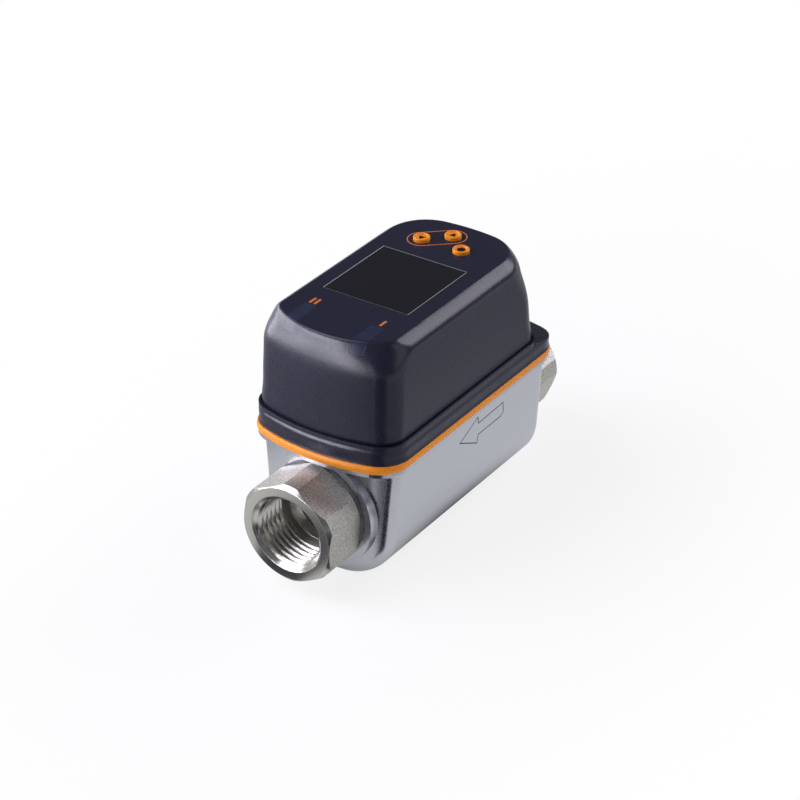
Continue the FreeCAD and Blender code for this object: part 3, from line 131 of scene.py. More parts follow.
# Connector shell: stem, seal groove, flange, barrel and cavity
STEM_RADIUS = 5.2 * MM
CAVITY_RADIUS = 4.4 * MM
GROOVE_RADII = (5.5 * MM, 6.2 * MM)
GROOVE_DEPTH = 0.7 * MM
FLANGE_THICKNESS = 1.2 * MM
FLANGE_EDGE = 0.15 * MM
BARREL_CHAMFER = 0.7 * MM
BARREL_ROWS = 110
SHELL_COLUMNS = 96
# first row of the barrel and first root of its thread, as distances from the flange
BARREL_START = 0.02 * MM
THREAD_START = 0.6 * MM
# share of the chamfer that the thread runs into, and share of a pitch over which it fades
CHAMFER_SHARE = 0.4
FADE_SHARE = 0.4

# Patterns: where most of a noise lies between 0 and 1
NOISE_LOW = 0.3
NOISE_HIGH = 0.7


def linear(hex_colour):
    """An sRGB hex colour as linear red, green and blue."""
    values = [int(hex_colour[place:place + 2], 16) / 255.0 for place in (1, 3, 5)]
    return tuple(value / 12.92 if value <= 0.04045 else ((value + 0.055) / 1.055) ** 2.4 for value in values)


def opaque(colour):
    """The colour with full alpha, as a colour socket takes it."""
    return (colour[0], colour[1], colour[2], 1.0)


def add_node(tree, kind, inputs=None, links=None, **settings):
    """One node with its settings, its socket values and the outputs that feed its sockets."""
    node = tree.nodes.new(kind)
    for name, value in settings.items():
        setattr(node, name, value)
    for socket, value in (inputs or {}).items():
        node.inputs[socket].default_value = value
    for socket, output in (links or {}).items():
        tree.links.new(output, node.inputs[socket])
    return node


# Sizes and colours that a user would change


class MeterSizes(bpy.types.PropertyGroup):
    """Sizes of the fine forms."""

    pipe_thread_pitch: bpy.props.FloatProperty(
        name="Pipe thread pitch", description="Pitch of the G 1/2 thread in both fittings",
        default=1.814 * MM, min=0.5 * MM, max=4.0 * MM, precision=5, unit="LENGTH")
    pipe_thread_depth: bpy.props.FloatProperty(
        name="Pipe thread depth", description="Radial depth of the G 1/2 thread",
        default=1.162 * MM, min=0.2 * MM, max=2.0 * MM, precision=5, unit="LENGTH")
    pipe_thread_length: bpy.props.FloatProperty(
        name="Pipe thread length", description="Length of thread from the face of a fitting",
        default=12.0 * MM, min=4.0 * MM, max=20.0 * MM, precision=4, unit="LENGTH")
    plug_thread_pitch: bpy.props.FloatProperty(
        name="Plug thread pitch", description="Pitch of the M12 thread on the connector",
        default=1.0 * MM, min=0.5 * MM, max=2.0 * MM, precision=5, unit="LENGTH")
    plug_thread_depth: bpy.props.FloatProperty(
        name="Plug thread depth", description="Radial depth of the M12 thread",
        default=0.58 * MM, min=0.2 * MM, max=1.0 * MM, precision=5, unit="LENGTH")
    button_diameter: bpy.props.FloatProperty(
        name="Button diameter", description="Diameter of a push button above its flange",
        default=4.6 * MM, min=2.0 * MM, max=6.0 * MM, precision=5, unit="LENGTH")
    button_dish: bpy.props.FloatProperty(
        name="Button dish", description="Depth of the finger dish in a push button",
        default=0.38 * MM, min=0.05 * MM, max=0.6 * MM, precision=5, unit="LENGTH")
    print_height: bpy.props.FloatProperty(
        name="Print height", description="How far the printed marks stand proud of the hood",
        default=0.03 * MM, min=0.005 * MM, max=0.2 * MM, precision=5, unit="LENGTH")
    line_width: bpy.props.FloatProperty(
        name="Line width", description="Width of the printed and etched lines",
        default=0.32 * MM, min=0.1 * MM, max=1.0 * MM, precision=5, unit="LENGTH")


class MeterColours(bpy.types.PropertyGroup):
    """Colours of the finishes that show outside."""

    hood: bpy.props.FloatVectorProperty(
        name="Hood", description="Charcoal of the moulded hood", subtype="COLOR", min=0.0, max=1.0,
        default=linear("#1F2033"))
    seal: bpy.props.FloatVectorProperty(
        name="Seal", description="Orange of the seal band and the buttons", subtype="COLOR", min=0.0, max=1.0,
        default=linear("#F8961E"))
    ink: bpy.props.FloatVectorProperty(
        name="Ink", description="Orange ink of the printed marks", subtype="COLOR", min=0.0, max=1.0,
        default=linear("#D9773A"))
    sheet: bpy.props.FloatVectorProperty(
        name="Sheet steel", description="Drawn stainless sheet of the lower housing", subtype="COLOR",
        min=0.0, max=1.0, default=linear("#C1C3C9"))
    fitting: bpy.props.FloatVectorProperty(
        name="Fittings", description="Machined stainless of the pipe fittings", subtype="COLOR",
        min=0.0, max=1.0, default=linear("#CCCAC3"))


class MeterStudio(bpy.types.PropertyGroup):
    """Camera and lamp settings."""

    lens: bpy.props.FloatProperty(
        name="Lens", description="Focal length on a 36 mm sensor, in millimetres",
        default=120.97, min=20.0, max=300.0)
    lamp_level: bpy.props.FloatProperty(
        name="Lamp level", description="Factor on every lamp's power", default=1.0, min=0.0, max=5.0,
        subtype="FACTOR")
    sky_level: bpy.props.FloatProperty(
        name="Sky level", description="Brightness of the surroundings as the object sees them",
        default=0.16, min=0.0, max=2.0, subtype="FACTOR")


# Materials


def new_material(name, colour, metallic, roughness, **sockets):
    """A material with one Principled shader. Returns the material, its node tree and the shader."""
    material = bpy.data.materials.new(name)
    material.use_nodes = True
    tree = material.node_tree
    shader = tree.nodes["Principled BSDF"]
    shader.inputs["Base Color"].default_value = opaque(colour)
    shader.inputs["Metallic"].default_value = metallic
    shader.inputs["Roughness"].default_value = roughness
    for socket, value in sockets.items():
        shader.inputs[socket.replace("_", " ")].default_value = value
    material.diffuse_color = opaque(colour)
    return material, tree, shader


def grain(tree, size, stretch=(1.0, 1.0, 1.0), detail=3.0):
    """Noise on Object coordinates with features of this size in metres, drawn out by the stretch factors."""
    place = add_node(tree, "ShaderNodeTexCoord")
    scale = tuple(1.0 / (size * factor) for factor in stretch)
    mapping = add_node(tree, "ShaderNodeMapping", {"Scale": scale}, {"Vector": place.outputs["Object"]})
    noise = add_node(tree, "ShaderNodeTexNoise", {"Scale": 1.0, "Detail": detail},
                     {"Vector": mapping.outputs["Vector"]})
    return noise.outputs["Fac"]


def bands(tree, scale, direction, **inputs):
    """Bands across one axis of the Object coordinates. They lie a tenth of pi over the scale apart."""
    place = add_node(tree, "ShaderNodeTexCoord")
    wave = add_node(tree, "ShaderNodeTexWave", {"Scale": scale, **inputs},
                    {"Vector": place.outputs["Object"]}, wave_type="BANDS", bands_direction=direction)
    return wave.outputs["Fac"]


def remap(tree, source, start, end, low, high, **settings):
    """A value that runs from low to high while its source runs from start to end."""
    node = add_node(tree, "ShaderNodeMapRange",
                    {"From Min": start, "From Max": end, "To Min": low, "To Max": high}, {"Value": source},
                    **settings)
    return node.outputs["Result"]


def vary_roughness(tree, shader, source, low, high):
    """Roughness that runs from low to high with a pattern."""
    tree.links.new(remap(tree, source, NOISE_LOW, NOISE_HIGH, low, high), shader.inputs["Roughness"])


def relief(tree, shader, source, height, strength, edge=None):
    """Bump of this height in metres from a pattern, over edges that are broken by a radius in metres."""
    bump = add_node(tree, "ShaderNodeBump", {"Strength": strength, "Distance": height}, {"Height": source})
    if edge:
        broken = add_node(tree, "ShaderNodeBevel", {"Radius": edge}, samples=6)
        tree.links.new(broken.outputs["Normal"], bump.inputs["Normal"])
    tree.links.new(bump.outputs["Normal"], shader.inputs["Normal"])
    return bump


def vary_colour(tree, shader, source, dark, light):
    """Base colour that runs between two colours with a pattern."""
    ramp = add_node(tree, "ShaderNodeValToRGB", links={"Fac": source})
    for stop, position, colour in zip(ramp.color_ramp.elements, (NOISE_LOW, NOISE_HIGH), (dark, light)):
        stop.position = position
        stop.color = opaque(colour)
    tree.links.new(ramp.outputs["Color"], shader.inputs["Base Color"])


def shade(colour, factor):
    """The colour darker or lighter by a factor."""
    return tuple(min(value * factor, 1.0) for value in colour)


def patterned(name, colour, metallic, roughness, size, stretch=(1.0, 1.0, 1.0), detail=3.0,
              *, rough, tones=None, bump=None, **sockets):
    """A material with one grain in its roughness, colour and relief.

    The roughness runs between the two values of rough, and the colour between its shades by the two
    factors of tones. bump is the relief's height in metres and its strength.
    """
    material, tree, shader = new_material(name, colour, metallic, roughness, **sockets)
    pattern = grain(tree, size, stretch, detail)
    vary_roughness(tree, shader, pattern, *rough)
    if tones:
        vary_colour(tree, shader, pattern, *[shade(colour, factor) for factor in tones])
    if bump:
        relief(tree, shader, pattern, *bump)
    return material


def satin_stainless_sheet(colour):
    """Drawn and belt-finished stainless sheet: fine streaks along the pipe that draw reflections out."""
    # belt grit of about 0.1 mm, drawn at 0.25 mm so that it shows
    return patterned("satin_stainless_sheet", colour, 1.0, 0.24, 0.25 * MM, (1.0, 60.0, 1.0), 4.0,
                     rough=(0.19, 0.29), bump=(0.0009 * MM, 0.5))


def machined_stainless(colour):
    """Turned and milled stainless: rings on turned faces, a lively speckle on the milled flats."""
    material, tree, shader = new_material("machined_stainless", colour, 1.0, 0.27)
    # the turning marks lie 0.25 mm apart
    rings = bands(tree, 1250.0, "Y", Distortion=0.4, Detail=1.0)
    speckle = grain(tree, 0.36 * MM, (1.0, 1.5, 1.0), 2.0)
    # a milled flat has hardly any of its normal along the pipe
    facing = add_node(tree, "ShaderNodeNewGeometry")
    split = add_node(tree, "ShaderNodeSeparateXYZ", links={"Vector": facing.outputs["True Normal"]})
    along = add_node(tree, "ShaderNodeMath", links={0: split.outputs["Y"]}, operation="ABSOLUTE")
    flat = remap(tree, along.outputs["Value"], 0.05, 0.3, 1.0, 0.0)
    milled = add_node(tree, "ShaderNodeMix", {"A": 0.5}, {"Factor": flat, "B": speckle})
    vary_colour(tree, shader, milled.outputs["Result"], shade(colour, 0.62), shade(colour, 1.2))
    tree.links.new(remap(tree, flat, 0.0, 1.0, 0.25, 0.56), shader.inputs["Roughness"])
    coarse = relief(tree, shader, milled.outputs["Result"], height=0.05 * MM, strength=0.8, edge=0.15 * MM)
    fine = add_node(tree, "ShaderNodeBump", {"Strength": 0.15, "Distance": 0.004 * MM},
                    {"Height": rings, "Normal": coarse.outputs["Normal"]})
    tree.links.new(fine.outputs["Normal"], shader.inputs["Normal"])
    return material


def turned_thread_stainless(colour):
    """Cut thread: bright flanks with the tool's fine chatter running round."""
    return patterned("turned_thread_stainless", colour, 1.0, 0.2, 0.3 * MM, (1.0, 0.5, 1.0), 2.0,
                     rough=(0.14, 0.26), bump=(0.004 * MM, 0.5))


def tumbled_stainless(colour):
    """Small stainless screws, clamp and probe: tumbled, so softly dull with slight dents."""
    return patterned("tumbled_stainless", colour, 1.0, 0.32, 0.5 * MM, rough=(0.27, 0.38),
                     bump=(0.005 * MM, 0.4))


def nickel_plated_brass(colour):
    """Electroless nickel on turned brass: warm grey, brighter than bare steel, with faint turning marks."""
    return patterned("nickel_plated_brass", colour, 1.0, 0.22, 0.35 * MM, (1.0, 0.3, 1.0),
                     rough=(0.17, 0.28), bump=(0.003 * MM, 0.5))


def gold_flashed_contact(colour):
    """Gold flash over nickel on a turned pin: smooth, with a slight haze."""
    return patterned("gold_flashed_contact", colour, 1.0, 0.18, 0.2 * MM, rough=(0.14, 0.24))


def moulded_polyamide(name, colour, roughness, size=0.3 * MM, height=0.004 * MM, edge=None, specular=0.5):
    """Glass-filled polyamide from a spark-eroded tool: an even fine grain that breaks up the highlights."""
    material, tree, shader = new_material(name, colour, 0.0, roughness, Specular_IOR_Level=specular)
    texture = grain(tree, size)
    clouds = grain(tree, 18.0 * MM, detail=1.0)
    vary_roughness(tree, shader, texture, roughness - 0.04, roughness + 0.05)
    vary_colour(tree, shader, clouds, shade(colour, 0.94), shade(colour, 1.06))
    relief(tree, shader, texture, height, 0.4, edge)
    return material


def moulded_elastomer(name, colour, roughness):
    """Thermoplastic elastomer: saturated, satin, with the faint orange-peel of a moulded rubber skin."""
    return patterned(name, colour, 0.0, roughness, 0.6 * MM, detail=2.0,
                     rough=(roughness - 0.05, roughness + 0.06), tones=(0.95, 1.04), bump=(0.003 * MM, 0.4),
                     Specular_IOR_Level=0.24)


def moulded_nitrile(name, colour):
    """Moulded nitrile seals: dull, with a dusting of lighter bloom."""
    return patterned(name, colour, 0.0, 0.62, 0.8 * MM, rough=(0.55, 0.72), tones=(1.0, 1.7))


def hard_coated_polycarbonate(colour):
    """Display cover: tinted, hard-coated polycarbonate, mirror smooth with barely any wave."""
    return patterned("hard_coated_polycarbonate", colour, 0.0, 0.07, 9.0 * MM, detail=1.0,
                     rough=(0.05, 0.1), bump=(0.003 * MM, 0.15), IOR=1.58)


def smoked_polycarbonate(colour):
    """Light windows: smoke-tinted polycarbonate, satin like the hood, its tint slightly uneven."""
    return patterned("smoked_polycarbonate", colour, 0.0, 0.3, 2.5 * MM, detail=1.0,
                     rough=(0.28, 0.34), tones=(0.85, 1.15), Specular_IOR_Level=0.38)


def solder_resist(colour):
    """Green solder resist over glass cloth: glossy, with the weave pressing through."""
    material, tree, shader = new_material("solder_resist", colour, 0.0, 0.3)
    # the cloth's threads lie 0.31 mm apart both ways
    warp = bands(tree, 1000.0, "X")
    weft = bands(tree, 1000.0, "Y")
    cloth = add_node(tree, "ShaderNodeMath", links={0: warp, 1: weft}, operation="MULTIPLY")
    vary_colour(tree, shader, cloth.outputs["Value"], shade(colour, 0.85), shade(colour, 1.2))
    relief(tree, shader, cloth.outputs["Value"], 0.01 * MM, 0.4)
    return material


def polyurethane_jacket(colour):
    """Lead jacket: extruded polyurethane, satin, with faint lengthways die lines."""
    return patterned("polyurethane_jacket", colour, 0.0, 0.45, 0.3 * MM, (1.0, 1.0, 20.0),
                     rough=(0.4, 0.52), bump=(0.006 * MM, 0.4))


def screen_ink(name, colour):
    """Screen-printed ink: a thin matt film with slightly uneven cover."""
    return patterned(name, colour, 0.0, 0.5, 0.25 * MM, rough=(0.44, 0.58), tones=(0.9, 1.05))


def laser_etch(colour):
    """Laser-annealed line on stainless: a dark oxide with no depth, duller than the sheet round it."""
    return patterned("laser_etch", colour, 0.35, 0.55, 0.2 * MM, rough=(0.48, 0.65), tones=(0.8, 1.3))


def clear_epoxy_lens(colour):
    """Surface-mount lamp: pale, slightly milky epoxy over its chip."""
    return patterned("clear_epoxy_lens", colour, 0.0, 0.2, 0.7 * MM, rough=(0.16, 0.26), tones=(0.92, 1.03),
                     IOR=1.55)


def wear(material, *nodes):
    """Puts a finish on CAD nodes, in place of the plain one they came with."""
    for node in nodes:
        piece = frame["nodes"][node]
        piece.data.materials.clear()
        piece.data.materials.append(material)


# Surfaces


def surface(name, points, wrap_rows=True, wrap_columns=True):
    """A mesh on a grid of points, joined to itself along its rows or columns where they wrap."""
    rows, columns = points.shape[:2]
    index = np.arange(rows * columns).reshape(rows, columns)
    if wrap_rows:
        index = np.vstack([index, index[:1]])
    if wrap_columns:
        index = np.hstack([index, index[:, :1]])
    corners = np.stack([index[:-1, :-1], index[1:, :-1], index[1:, 1:], index[:-1, 1:]], axis=-1)
    mesh = bpy.data.meshes.new(name)
    mesh.from_pydata(points.reshape(-1, 3), [], corners.reshape(-1, 4))
    tidy = bmesh.new()
    tidy.from_mesh(mesh)
    bmesh.ops.remove_doubles(tidy, verts=tidy.verts, dist=WELD)
    bmesh.ops.recalc_face_normals(tidy, faces=tidy.faces)
    tidy.to_mesh(mesh)
    tidy.free()
    mesh.polygons.foreach_set("use_smooth", np.ones(len(mesh.polygons), dtype=bool))
    mesh.set_sharp_from_angle(angle=SMOOTH_LIMIT)
    piece = bpy.data.objects.new(name, mesh)
    bpy.context.scene.collection.objects.link(piece)
    return piece


def full_turn(columns):
    """Angles of the columns round an axis."""
    return np.linspace(0.0, 2.0 * math.pi, columns, endpoint=False)[None, :]


def round_pipe(along, radius, turn, axis_height):
    """Points round an axis along Y: across is the radius times the turn's sine, and up times its cosine."""
    across = radius * np.sin(turn)
    up = radius * np.cos(turn) + axis_height
    return np.stack([across, np.broadcast_to(along, across.shape), up], axis=-1)


def spokes(angle):
    """Unit vectors at these angles from X."""
    return np.stack([np.cos(angle), np.sin(angle)], axis=1)


def fade(along, start, end, length):
    """1 between start and end, falling to 0 at both along a half cosine of this length."""
    inside = np.clip(np.minimum(along - start, end - along) / length, 0.0, 1.0)
    return 0.5 - 0.5 * np.cos(math.pi * inside)


def thread_form(along, turn, pitch):
    """Thread height from 0 at the root to 1 at the crest.

    The phase is the place along the axis over the pitch, less the share of a turn, so the form climbs
    one pitch a turn. The arcsine of a little less than the phase's sine gives straight flanks with a
    narrow round crest and root.
    """
    wave = np.arcsin(FLANK_SHARE * np.sin(2.0 * math.pi * (along / pitch) - turn))
    return 0.5 + 0.5 * wave / math.asin(FLANK_SHARE)


def internal_thread(name, start, end, wall_radius, pitch, depth, axis_height):
    """A threaded sleeve on the wall of a bore along Y.

    Rows run down the sleeve's inner face, whose radius is the wall's less the thread's height, and back
    along its outer face, which lies just inside the metal. Columns run round the axis. A countersink of
    45 degrees at each end cuts the height down to no more than the distance from that end.
    """
    inner = np.linspace(start, end, SLEEVE_ROWS)
    outer = np.array([end, start])
    along = np.concatenate([inner, outer])[:, None]
    turn = full_turn(SLEEVE_COLUMNS)
    countersink = np.clip(np.minimum(along - start, end - along), 0.0, depth)
    height = np.minimum(depth * thread_form(along, turn, pitch), countersink)
    radius = wall_radius - SLEEVE_OFF_WALL - height
    radius[len(inner):] = wall_radius + SLEEVE_IN_WALL
    return surface(name, round_pipe(along, radius, turn, axis_height))


def threaded_shell(name, low, high, mount, sizes):
    """The connector's metal shell.

    Rows follow its closed section of (along, radius) points: stem, seal groove, flange, threaded barrel,
    chamfer and cavity. Columns run round the axis. On the barrel the radius is less by the thread's depth
    at the root and not at all at the crest, which climbs one pitch a turn.
    """
    barrel = mount["dims"]["r_mm"] * MM
    flange_face = mount["pos_m"][1]
    boss_face = flange_face - FLANGE_THICKNESS
    groove_floor = boss_face + GROOVE_DEPTH
    inner, outer = GROOVE_RADII
    flange = (high.x - low.x) / 2.0
    section = [
        (low.y, CAVITY_RADIUS), (low.y, STEM_RADIUS), (boss_face, STEM_RADIUS),
        (boss_face, inner), (groove_floor, inner), (groove_floor, outer), (boss_face, outer),
        (boss_face, flange - FLANGE_EDGE), (boss_face + FLANGE_EDGE, flange),
        (flange_face - FLANGE_EDGE, flange), (flange_face, flange - FLANGE_EDGE), (flange_face, barrel),
    ]
    before = len(section)
    section += [(place, barrel)
                for place in np.linspace(flange_face + BARREL_START, high.y - BARREL_CHAMFER, BARREL_ROWS)]
    section += [(high.y, barrel - BARREL_CHAMFER), (high.y, CAVITY_RADIUS)]
    section = np.array(section)
    along = section[:, :1]
    turn = full_turn(SHELL_COLUMNS)
    on_barrel = np.zeros((len(section), 1))
    on_barrel[before:before + BARREL_ROWS] = 1.0
    ends = fade(along, flange_face + THREAD_START, high.y - BARREL_CHAMFER * CHAMFER_SHARE,
                FADE_SHARE * sizes.plug_thread_pitch)
    root = 1.0 - thread_form(along, turn, sizes.plug_thread_pitch)
    radius = section[:, 1:] - sizes.plug_thread_depth * root * ends * on_barrel
    return surface(name, round_pipe(along, radius, turn, mount["pos_m"][2]))


def ribbon(name, path, width, low, high, place, inner_high=None):
    """A band along a closed path, flat on top or sloping down to its inner edge.

    Each corner moves along its mitre: the sum of its two side normals over one plus their product. Rows
    are the four edges of the band's section, outside then inside, and columns follow the path.
    """
    inner_top = high if inner_high is None else inner_high
    ahead = np.roll(path, -1, axis=0) - path
    ahead /= np.linalg.norm(ahead, axis=1, keepdims=True)
    side_ahead = ahead[:, ::-1] * (1.0, -1.0)
    side_behind = np.roll(side_ahead, 1, axis=0)
    share = 1.0 + np.sum(side_ahead * side_behind, axis=1, keepdims=True)
    mitre = (side_ahead + side_behind) / share
    edges = [(0.5, low), (0.5, high), (-0.5, inner_top), (-0.5, low)]
    rows = [place(path + mitre * width * side, level) for side, level in edges]
    return surface(name, np.stack(rows))


def plate(name, outline, low, high, place):
    """A flat plate with this outline.

    Rows run from the middle of its underside out to the edge, up, and in to the middle of its top;
    columns follow the outline. The last row of points falls together in each middle.
    """
    middle = outline.mean(axis=0)
    rings = [(0.0, low), (1.0, low), (1.0, high), (0.0, high)]
    rows = [place(middle + (outline - middle) * share, level) for share, level in rings]
    return surface(name, np.stack(rows), wrap_rows=False)


def dished_button(name, node, radius, dish):
    """A push button with a finger dish.

    Rows follow the button's closed section of (radius, height) points from the middle of its underside:
    flange, side, a quarter-circle edge, a flat rim, half a cosine wave down into the dish, and its flat
    floor. Columns run round the upright axis.
    """
    low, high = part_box(node)
    flange = (high.x - low.x) / 2.0
    step = low.z + BUTTON_FLANGE
    section = [(0.0, low.z), (flange, low.z), (flange, step), (radius, step)]
    section += [(radius - BUTTON_EDGE + BUTTON_EDGE * math.cos(turn),
                 high.z - BUTTON_EDGE + BUTTON_EDGE * math.sin(turn))
                for turn in np.linspace(0.0, math.pi / 2.0, EDGE_STEPS)]
    section += [(radius - DISH_INSET - DISH_SLOPE * share,
                 high.z - dish * (1.0 - math.cos(math.pi * share)) / 2.0)
                for share in np.linspace(0.0, 1.0, SLOPE_STEPS)]
    section += [(0.0, high.z - dish)]
    section = np.array(section)
    turn = full_turn(BUTTON_COLUMNS)
    middle = middle_of(node)
    across = middle[0] + section[:, :1] * np.cos(turn)
    along = middle[1] + section[:, :1] * np.sin(turn)
    up = np.broadcast_to(section[:, 1:], across.shape)
    return surface(name, np.stack([across, along, up], axis=-1), wrap_rows=False)


def stadium(first, last, radius, steps):
    """Points round two half circles about first and last, joined by straight sides."""
    run = last - first
    heading = math.atan2(run[1], run[0])
    turns = np.linspace(0.0, math.pi, steps)
    far = heading - math.pi / 2.0 + turns
    near = heading + math.pi / 2.0 + turns
    return np.concatenate([last + radius * spokes(far), first + radius * spokes(near)])


def rounded_bar(middle, width, length, corner, steps=5):
    """A rectangle with rounded corners, as four quarter circles."""
    turns = np.linspace(0.0, math.pi / 2.0, steps)
    quarters = []
    for quarter, (side, along) in enumerate([(1.0, 1.0), (-1.0, 1.0), (-1.0, -1.0), (1.0, -1.0)]):
        centre = np.array([side * (width / 2.0 - corner), along * (length / 2.0 - corner)])
        angle = turns + quarter * math.pi / 2.0
        quarters.append(middle + centre + corner * spokes(angle))
    return np.concatenate(quarters)


def crown_level():
    """The height of the hood's crown."""
    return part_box("hood")[1].z


def on_crown(points, level):
    """Places plan points at a height over the crown."""
    return np.column_stack([points, np.full(len(points), crown_level() + level)])


def housing_wall():
    """A function that places (along, up) points on the +X wall of the lower housing, at a height off it."""
    mesh = frame["nodes"]["lower_housing"].data
    tree = BVHTree.FromPolygons([vertex.co for vertex in mesh.vertices],
                                [face.vertices for face in mesh.polygons])
    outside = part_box("lower_housing")[1].x + RAY_START
    low, high = float(ARROW[:, 1].min()), float(ARROW[:, 1].max())
    feet = []
    for level in (low, high):
        hit = tree.ray_cast(Vector((outside, float(ARROW[0, 0]), level)), Vector((-1.0, 0.0, 0.0)))[0]
        if hit is None:
            raise RuntimeError("no housing wall behind the arrow")
        feet.append(hit.x)
    lean = (feet[1] - feet[0]) / (high - low)
    length = math.hypot(1.0, lean)

    def place(points, level):
        reach = feet[0] + lean * (points[:, 1] - low) + level / length
        return np.column_stack([reach, points[:, 0], points[:, 1] - level * lean / length])

    return place


def middle_of(node):
    """The plan place of a node's middle."""
    low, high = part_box(node)
    return np.array([(low.x + high.x) / 2.0, (low.y + high.y) / 2.0])


def mount_of(name):
    """A mount of the record."""
    return next(one for one in frame["record"]["mounts"] if one["name"] == name)


def keep(piece, material, body="meter"):
    """Gives a new piece its material and its body."""
    piece.data.materials.append(material)
    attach(piece, body)


# Operators: one for each piece or group of like pieces


class METER_OT_lower_housing(bpy.types.Operator):
    """Give the drawn lower housing its satin stainless finish"""

    bl_idname = "meter.lower_housing"
    bl_label = "Lower housing"

    def execute(self, context):
        wear(satin_stainless_sheet(context.scene.meter_colours.sheet), "lower_housing")
        return {"FINISHED"}


class METER_OT_fittings(bpy.types.Operator):
    """Give both hexagon fittings their machined finish, and the flat rings and O-rings a rubber one"""

    bl_idname = "meter.fittings"
    bl_label = "Pipe fittings"

    def execute(self, context):
        wear(machined_stainless(context.scene.meter_colours.fitting), "inlet_fitting", "outlet_fitting")
        wear(moulded_nitrile("grey_nitrile", linear("#5C5C60")), "inlet_wall_seal", "outlet_wall_seal")
        wear(moulded_nitrile("black_nitrile", linear("#121212")), "inlet_o_ring", "outlet_o_ring",
             "bluff_body_seal", "vortex_sensor_seal", "temperature_probe_seal", "connector_seal")
        return {"FINISHED"}


class METER_OT_pipe_threads(bpy.types.Operator):
    """Cut the G 1/2 thread in both fittings"""

    bl_idname = "meter.pipe_threads"
    bl_label = "Pipe threads"

    def execute(self, context):
        sizes = context.scene.meter_sizes
        material = turned_thread_stainless(context.scene.meter_colours.fitting)
        for end, inward in (("inlet", -1.0), ("outlet", 1.0)):
            low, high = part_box(end + "_fitting")
            mount = mount_of(end + "_thread")
            wall = mount["dims"]["r_mm"] * MM
            face = high.y if end == "inlet" else low.y
            first = face + inward * (sizes.pipe_thread_length - mount["dims"]["length_mm"] * MM)
            last = face + inward * sizes.pipe_thread_length
            sleeve = internal_thread(end + "_pipe_thread", min(first, last), max(first, last), wall,
                                     sizes.pipe_thread_pitch, sizes.pipe_thread_depth, mount["pos_m"][2])
            keep(sleeve, material)
        return {"FINISHED"}


class METER_OT_flow_arrow(bpy.types.Operator):
    """Etch the outline of the flow arrow into the side of the lower housing"""

    bl_idname = "meter.flow_arrow"
    bl_label = "Flow arrow"

    def execute(self, context):
        sizes = context.scene.meter_sizes
        arrow = ribbon("flow_arrow", ARROW, sizes.line_width, -BOTTOM_OF_MARK, ETCH_HEIGHT, housing_wall())
        keep(arrow, laser_etch(linear("#4A4B50")))
        return {"FINISHED"}


class METER_OT_seal_band(bpy.types.Operator):
    """Give the seal band between housing and hood its orange elastomer"""

    bl_idname = "meter.seal_band"
    bl_label = "Seal band"

    def execute(self, context):
        wear(moulded_elastomer("orange_elastomer", context.scene.meter_colours.seal, 0.42), "housing_seal")
        return {"FINISHED"}


class METER_OT_hood(bpy.types.Operator):
    """Give the hood its moulded charcoal finish"""

    bl_idname = "meter.hood"
    bl_label = "Hood"

    def execute(self, context):
        # the tool's grain is about 0.05 mm, drawn at 0.35 mm so that it shows
        polyamide = moulded_polyamide("charcoal_polyamide", context.scene.meter_colours.hood, 0.28,
                                      size=0.35 * MM, height=0.002 * MM, edge=0.12 * MM, specular=0.36)
        wear(polyamide, "hood")
        return {"FINISHED"}


class METER_OT_light_marks(bpy.types.Operator):
    """Print the bars that number the two status lights"""

    bl_idname = "meter.light_marks"
    bl_label = "Light marks"

    def execute(self, context):
        height = context.scene.meter_sizes.print_height
        material = screen_ink("orange_ink", context.scene.meter_colours.ink)
        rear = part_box("led_window_left")[1].y + BARS_BEHIND_WINDOW
        bars = {
            "light_mark_left_1": LEFT_BARS_X - BAR_GAP / 2.0,
            "light_mark_left_2": LEFT_BARS_X + BAR_GAP / 2.0,
            "light_mark_right": RIGHT_BAR_X,
        }
        for name, across in bars.items():
            outline = rounded_bar(np.array([across, rear]), BAR_WIDTH, BAR_LENGTH, BAR_CORNER)
            keep(plate(name, outline, -BOTTOM_OF_MARK, height, on_crown), material)
        return {"FINISHED"}


class METER_OT_button_loop(bpy.types.Operator):
    """Print the line that joins the left and the middle button"""

    bl_idname = "meter.button_loop"
    bl_label = "Button loop"

    def execute(self, context):
        sizes = context.scene.meter_sizes
        path = stadium(middle_of("button_left") + LOOP_SHIFT, middle_of("button_middle") + LOOP_SHIFT,
                       LOOP_RADIUS, LOOP_STEPS)
        loop = ribbon("button_loop", path, sizes.line_width, -BOTTOM_OF_MARK, sizes.print_height, on_crown)
        keep(loop, screen_ink("orange_line_ink", context.scene.meter_colours.ink))
        return {"FINISHED"}


class METER_OT_buttons(bpy.types.Operator):
    """Give the buttons their orange elastomer with a finger dish, and their symbols a dark plate of painted
    shade for the hollow
    """

    bl_idname = "meter.buttons"
    bl_label = "Buttons"

    def execute(self, context):
        sizes = context.scene.meter_sizes
        elastomer = moulded_elastomer("orange_button", shade(context.scene.meter_colours.seal, 1.04), 0.36)
        # painted shade: a dark plate fills each symbol's hollow and stands for the shade in it
        dark = moulded_polyamide("symbol_inlay", linear("#1E120D"), 0.6, specular=0.2)
        for name, (sides, heading, reach) in SYMBOLS.items():
            button = "button_" + name
            cap = dished_button(button + "_dished", button, sizes.button_diameter / 2.0, sizes.button_dish)
            keep(cap, elastomer, body=button)
            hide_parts(button)
            wear(elastomer, button)
            angle = math.radians(heading) + np.arange(sides) * 2.0 * math.pi / sides
            outline = middle_of(button) + reach * spokes(angle)
            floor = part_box(button)[1].z - crown_level() - sizes.button_dish
            hollow_shade_plate = plate("symbol_" + name, outline, floor - SHADE_PLATE_DEPTH, floor + SHADE_PLATE_HEIGHT, on_crown)
            keep(hollow_shade_plate, dark, body=button)
        return {"FINISHED"}


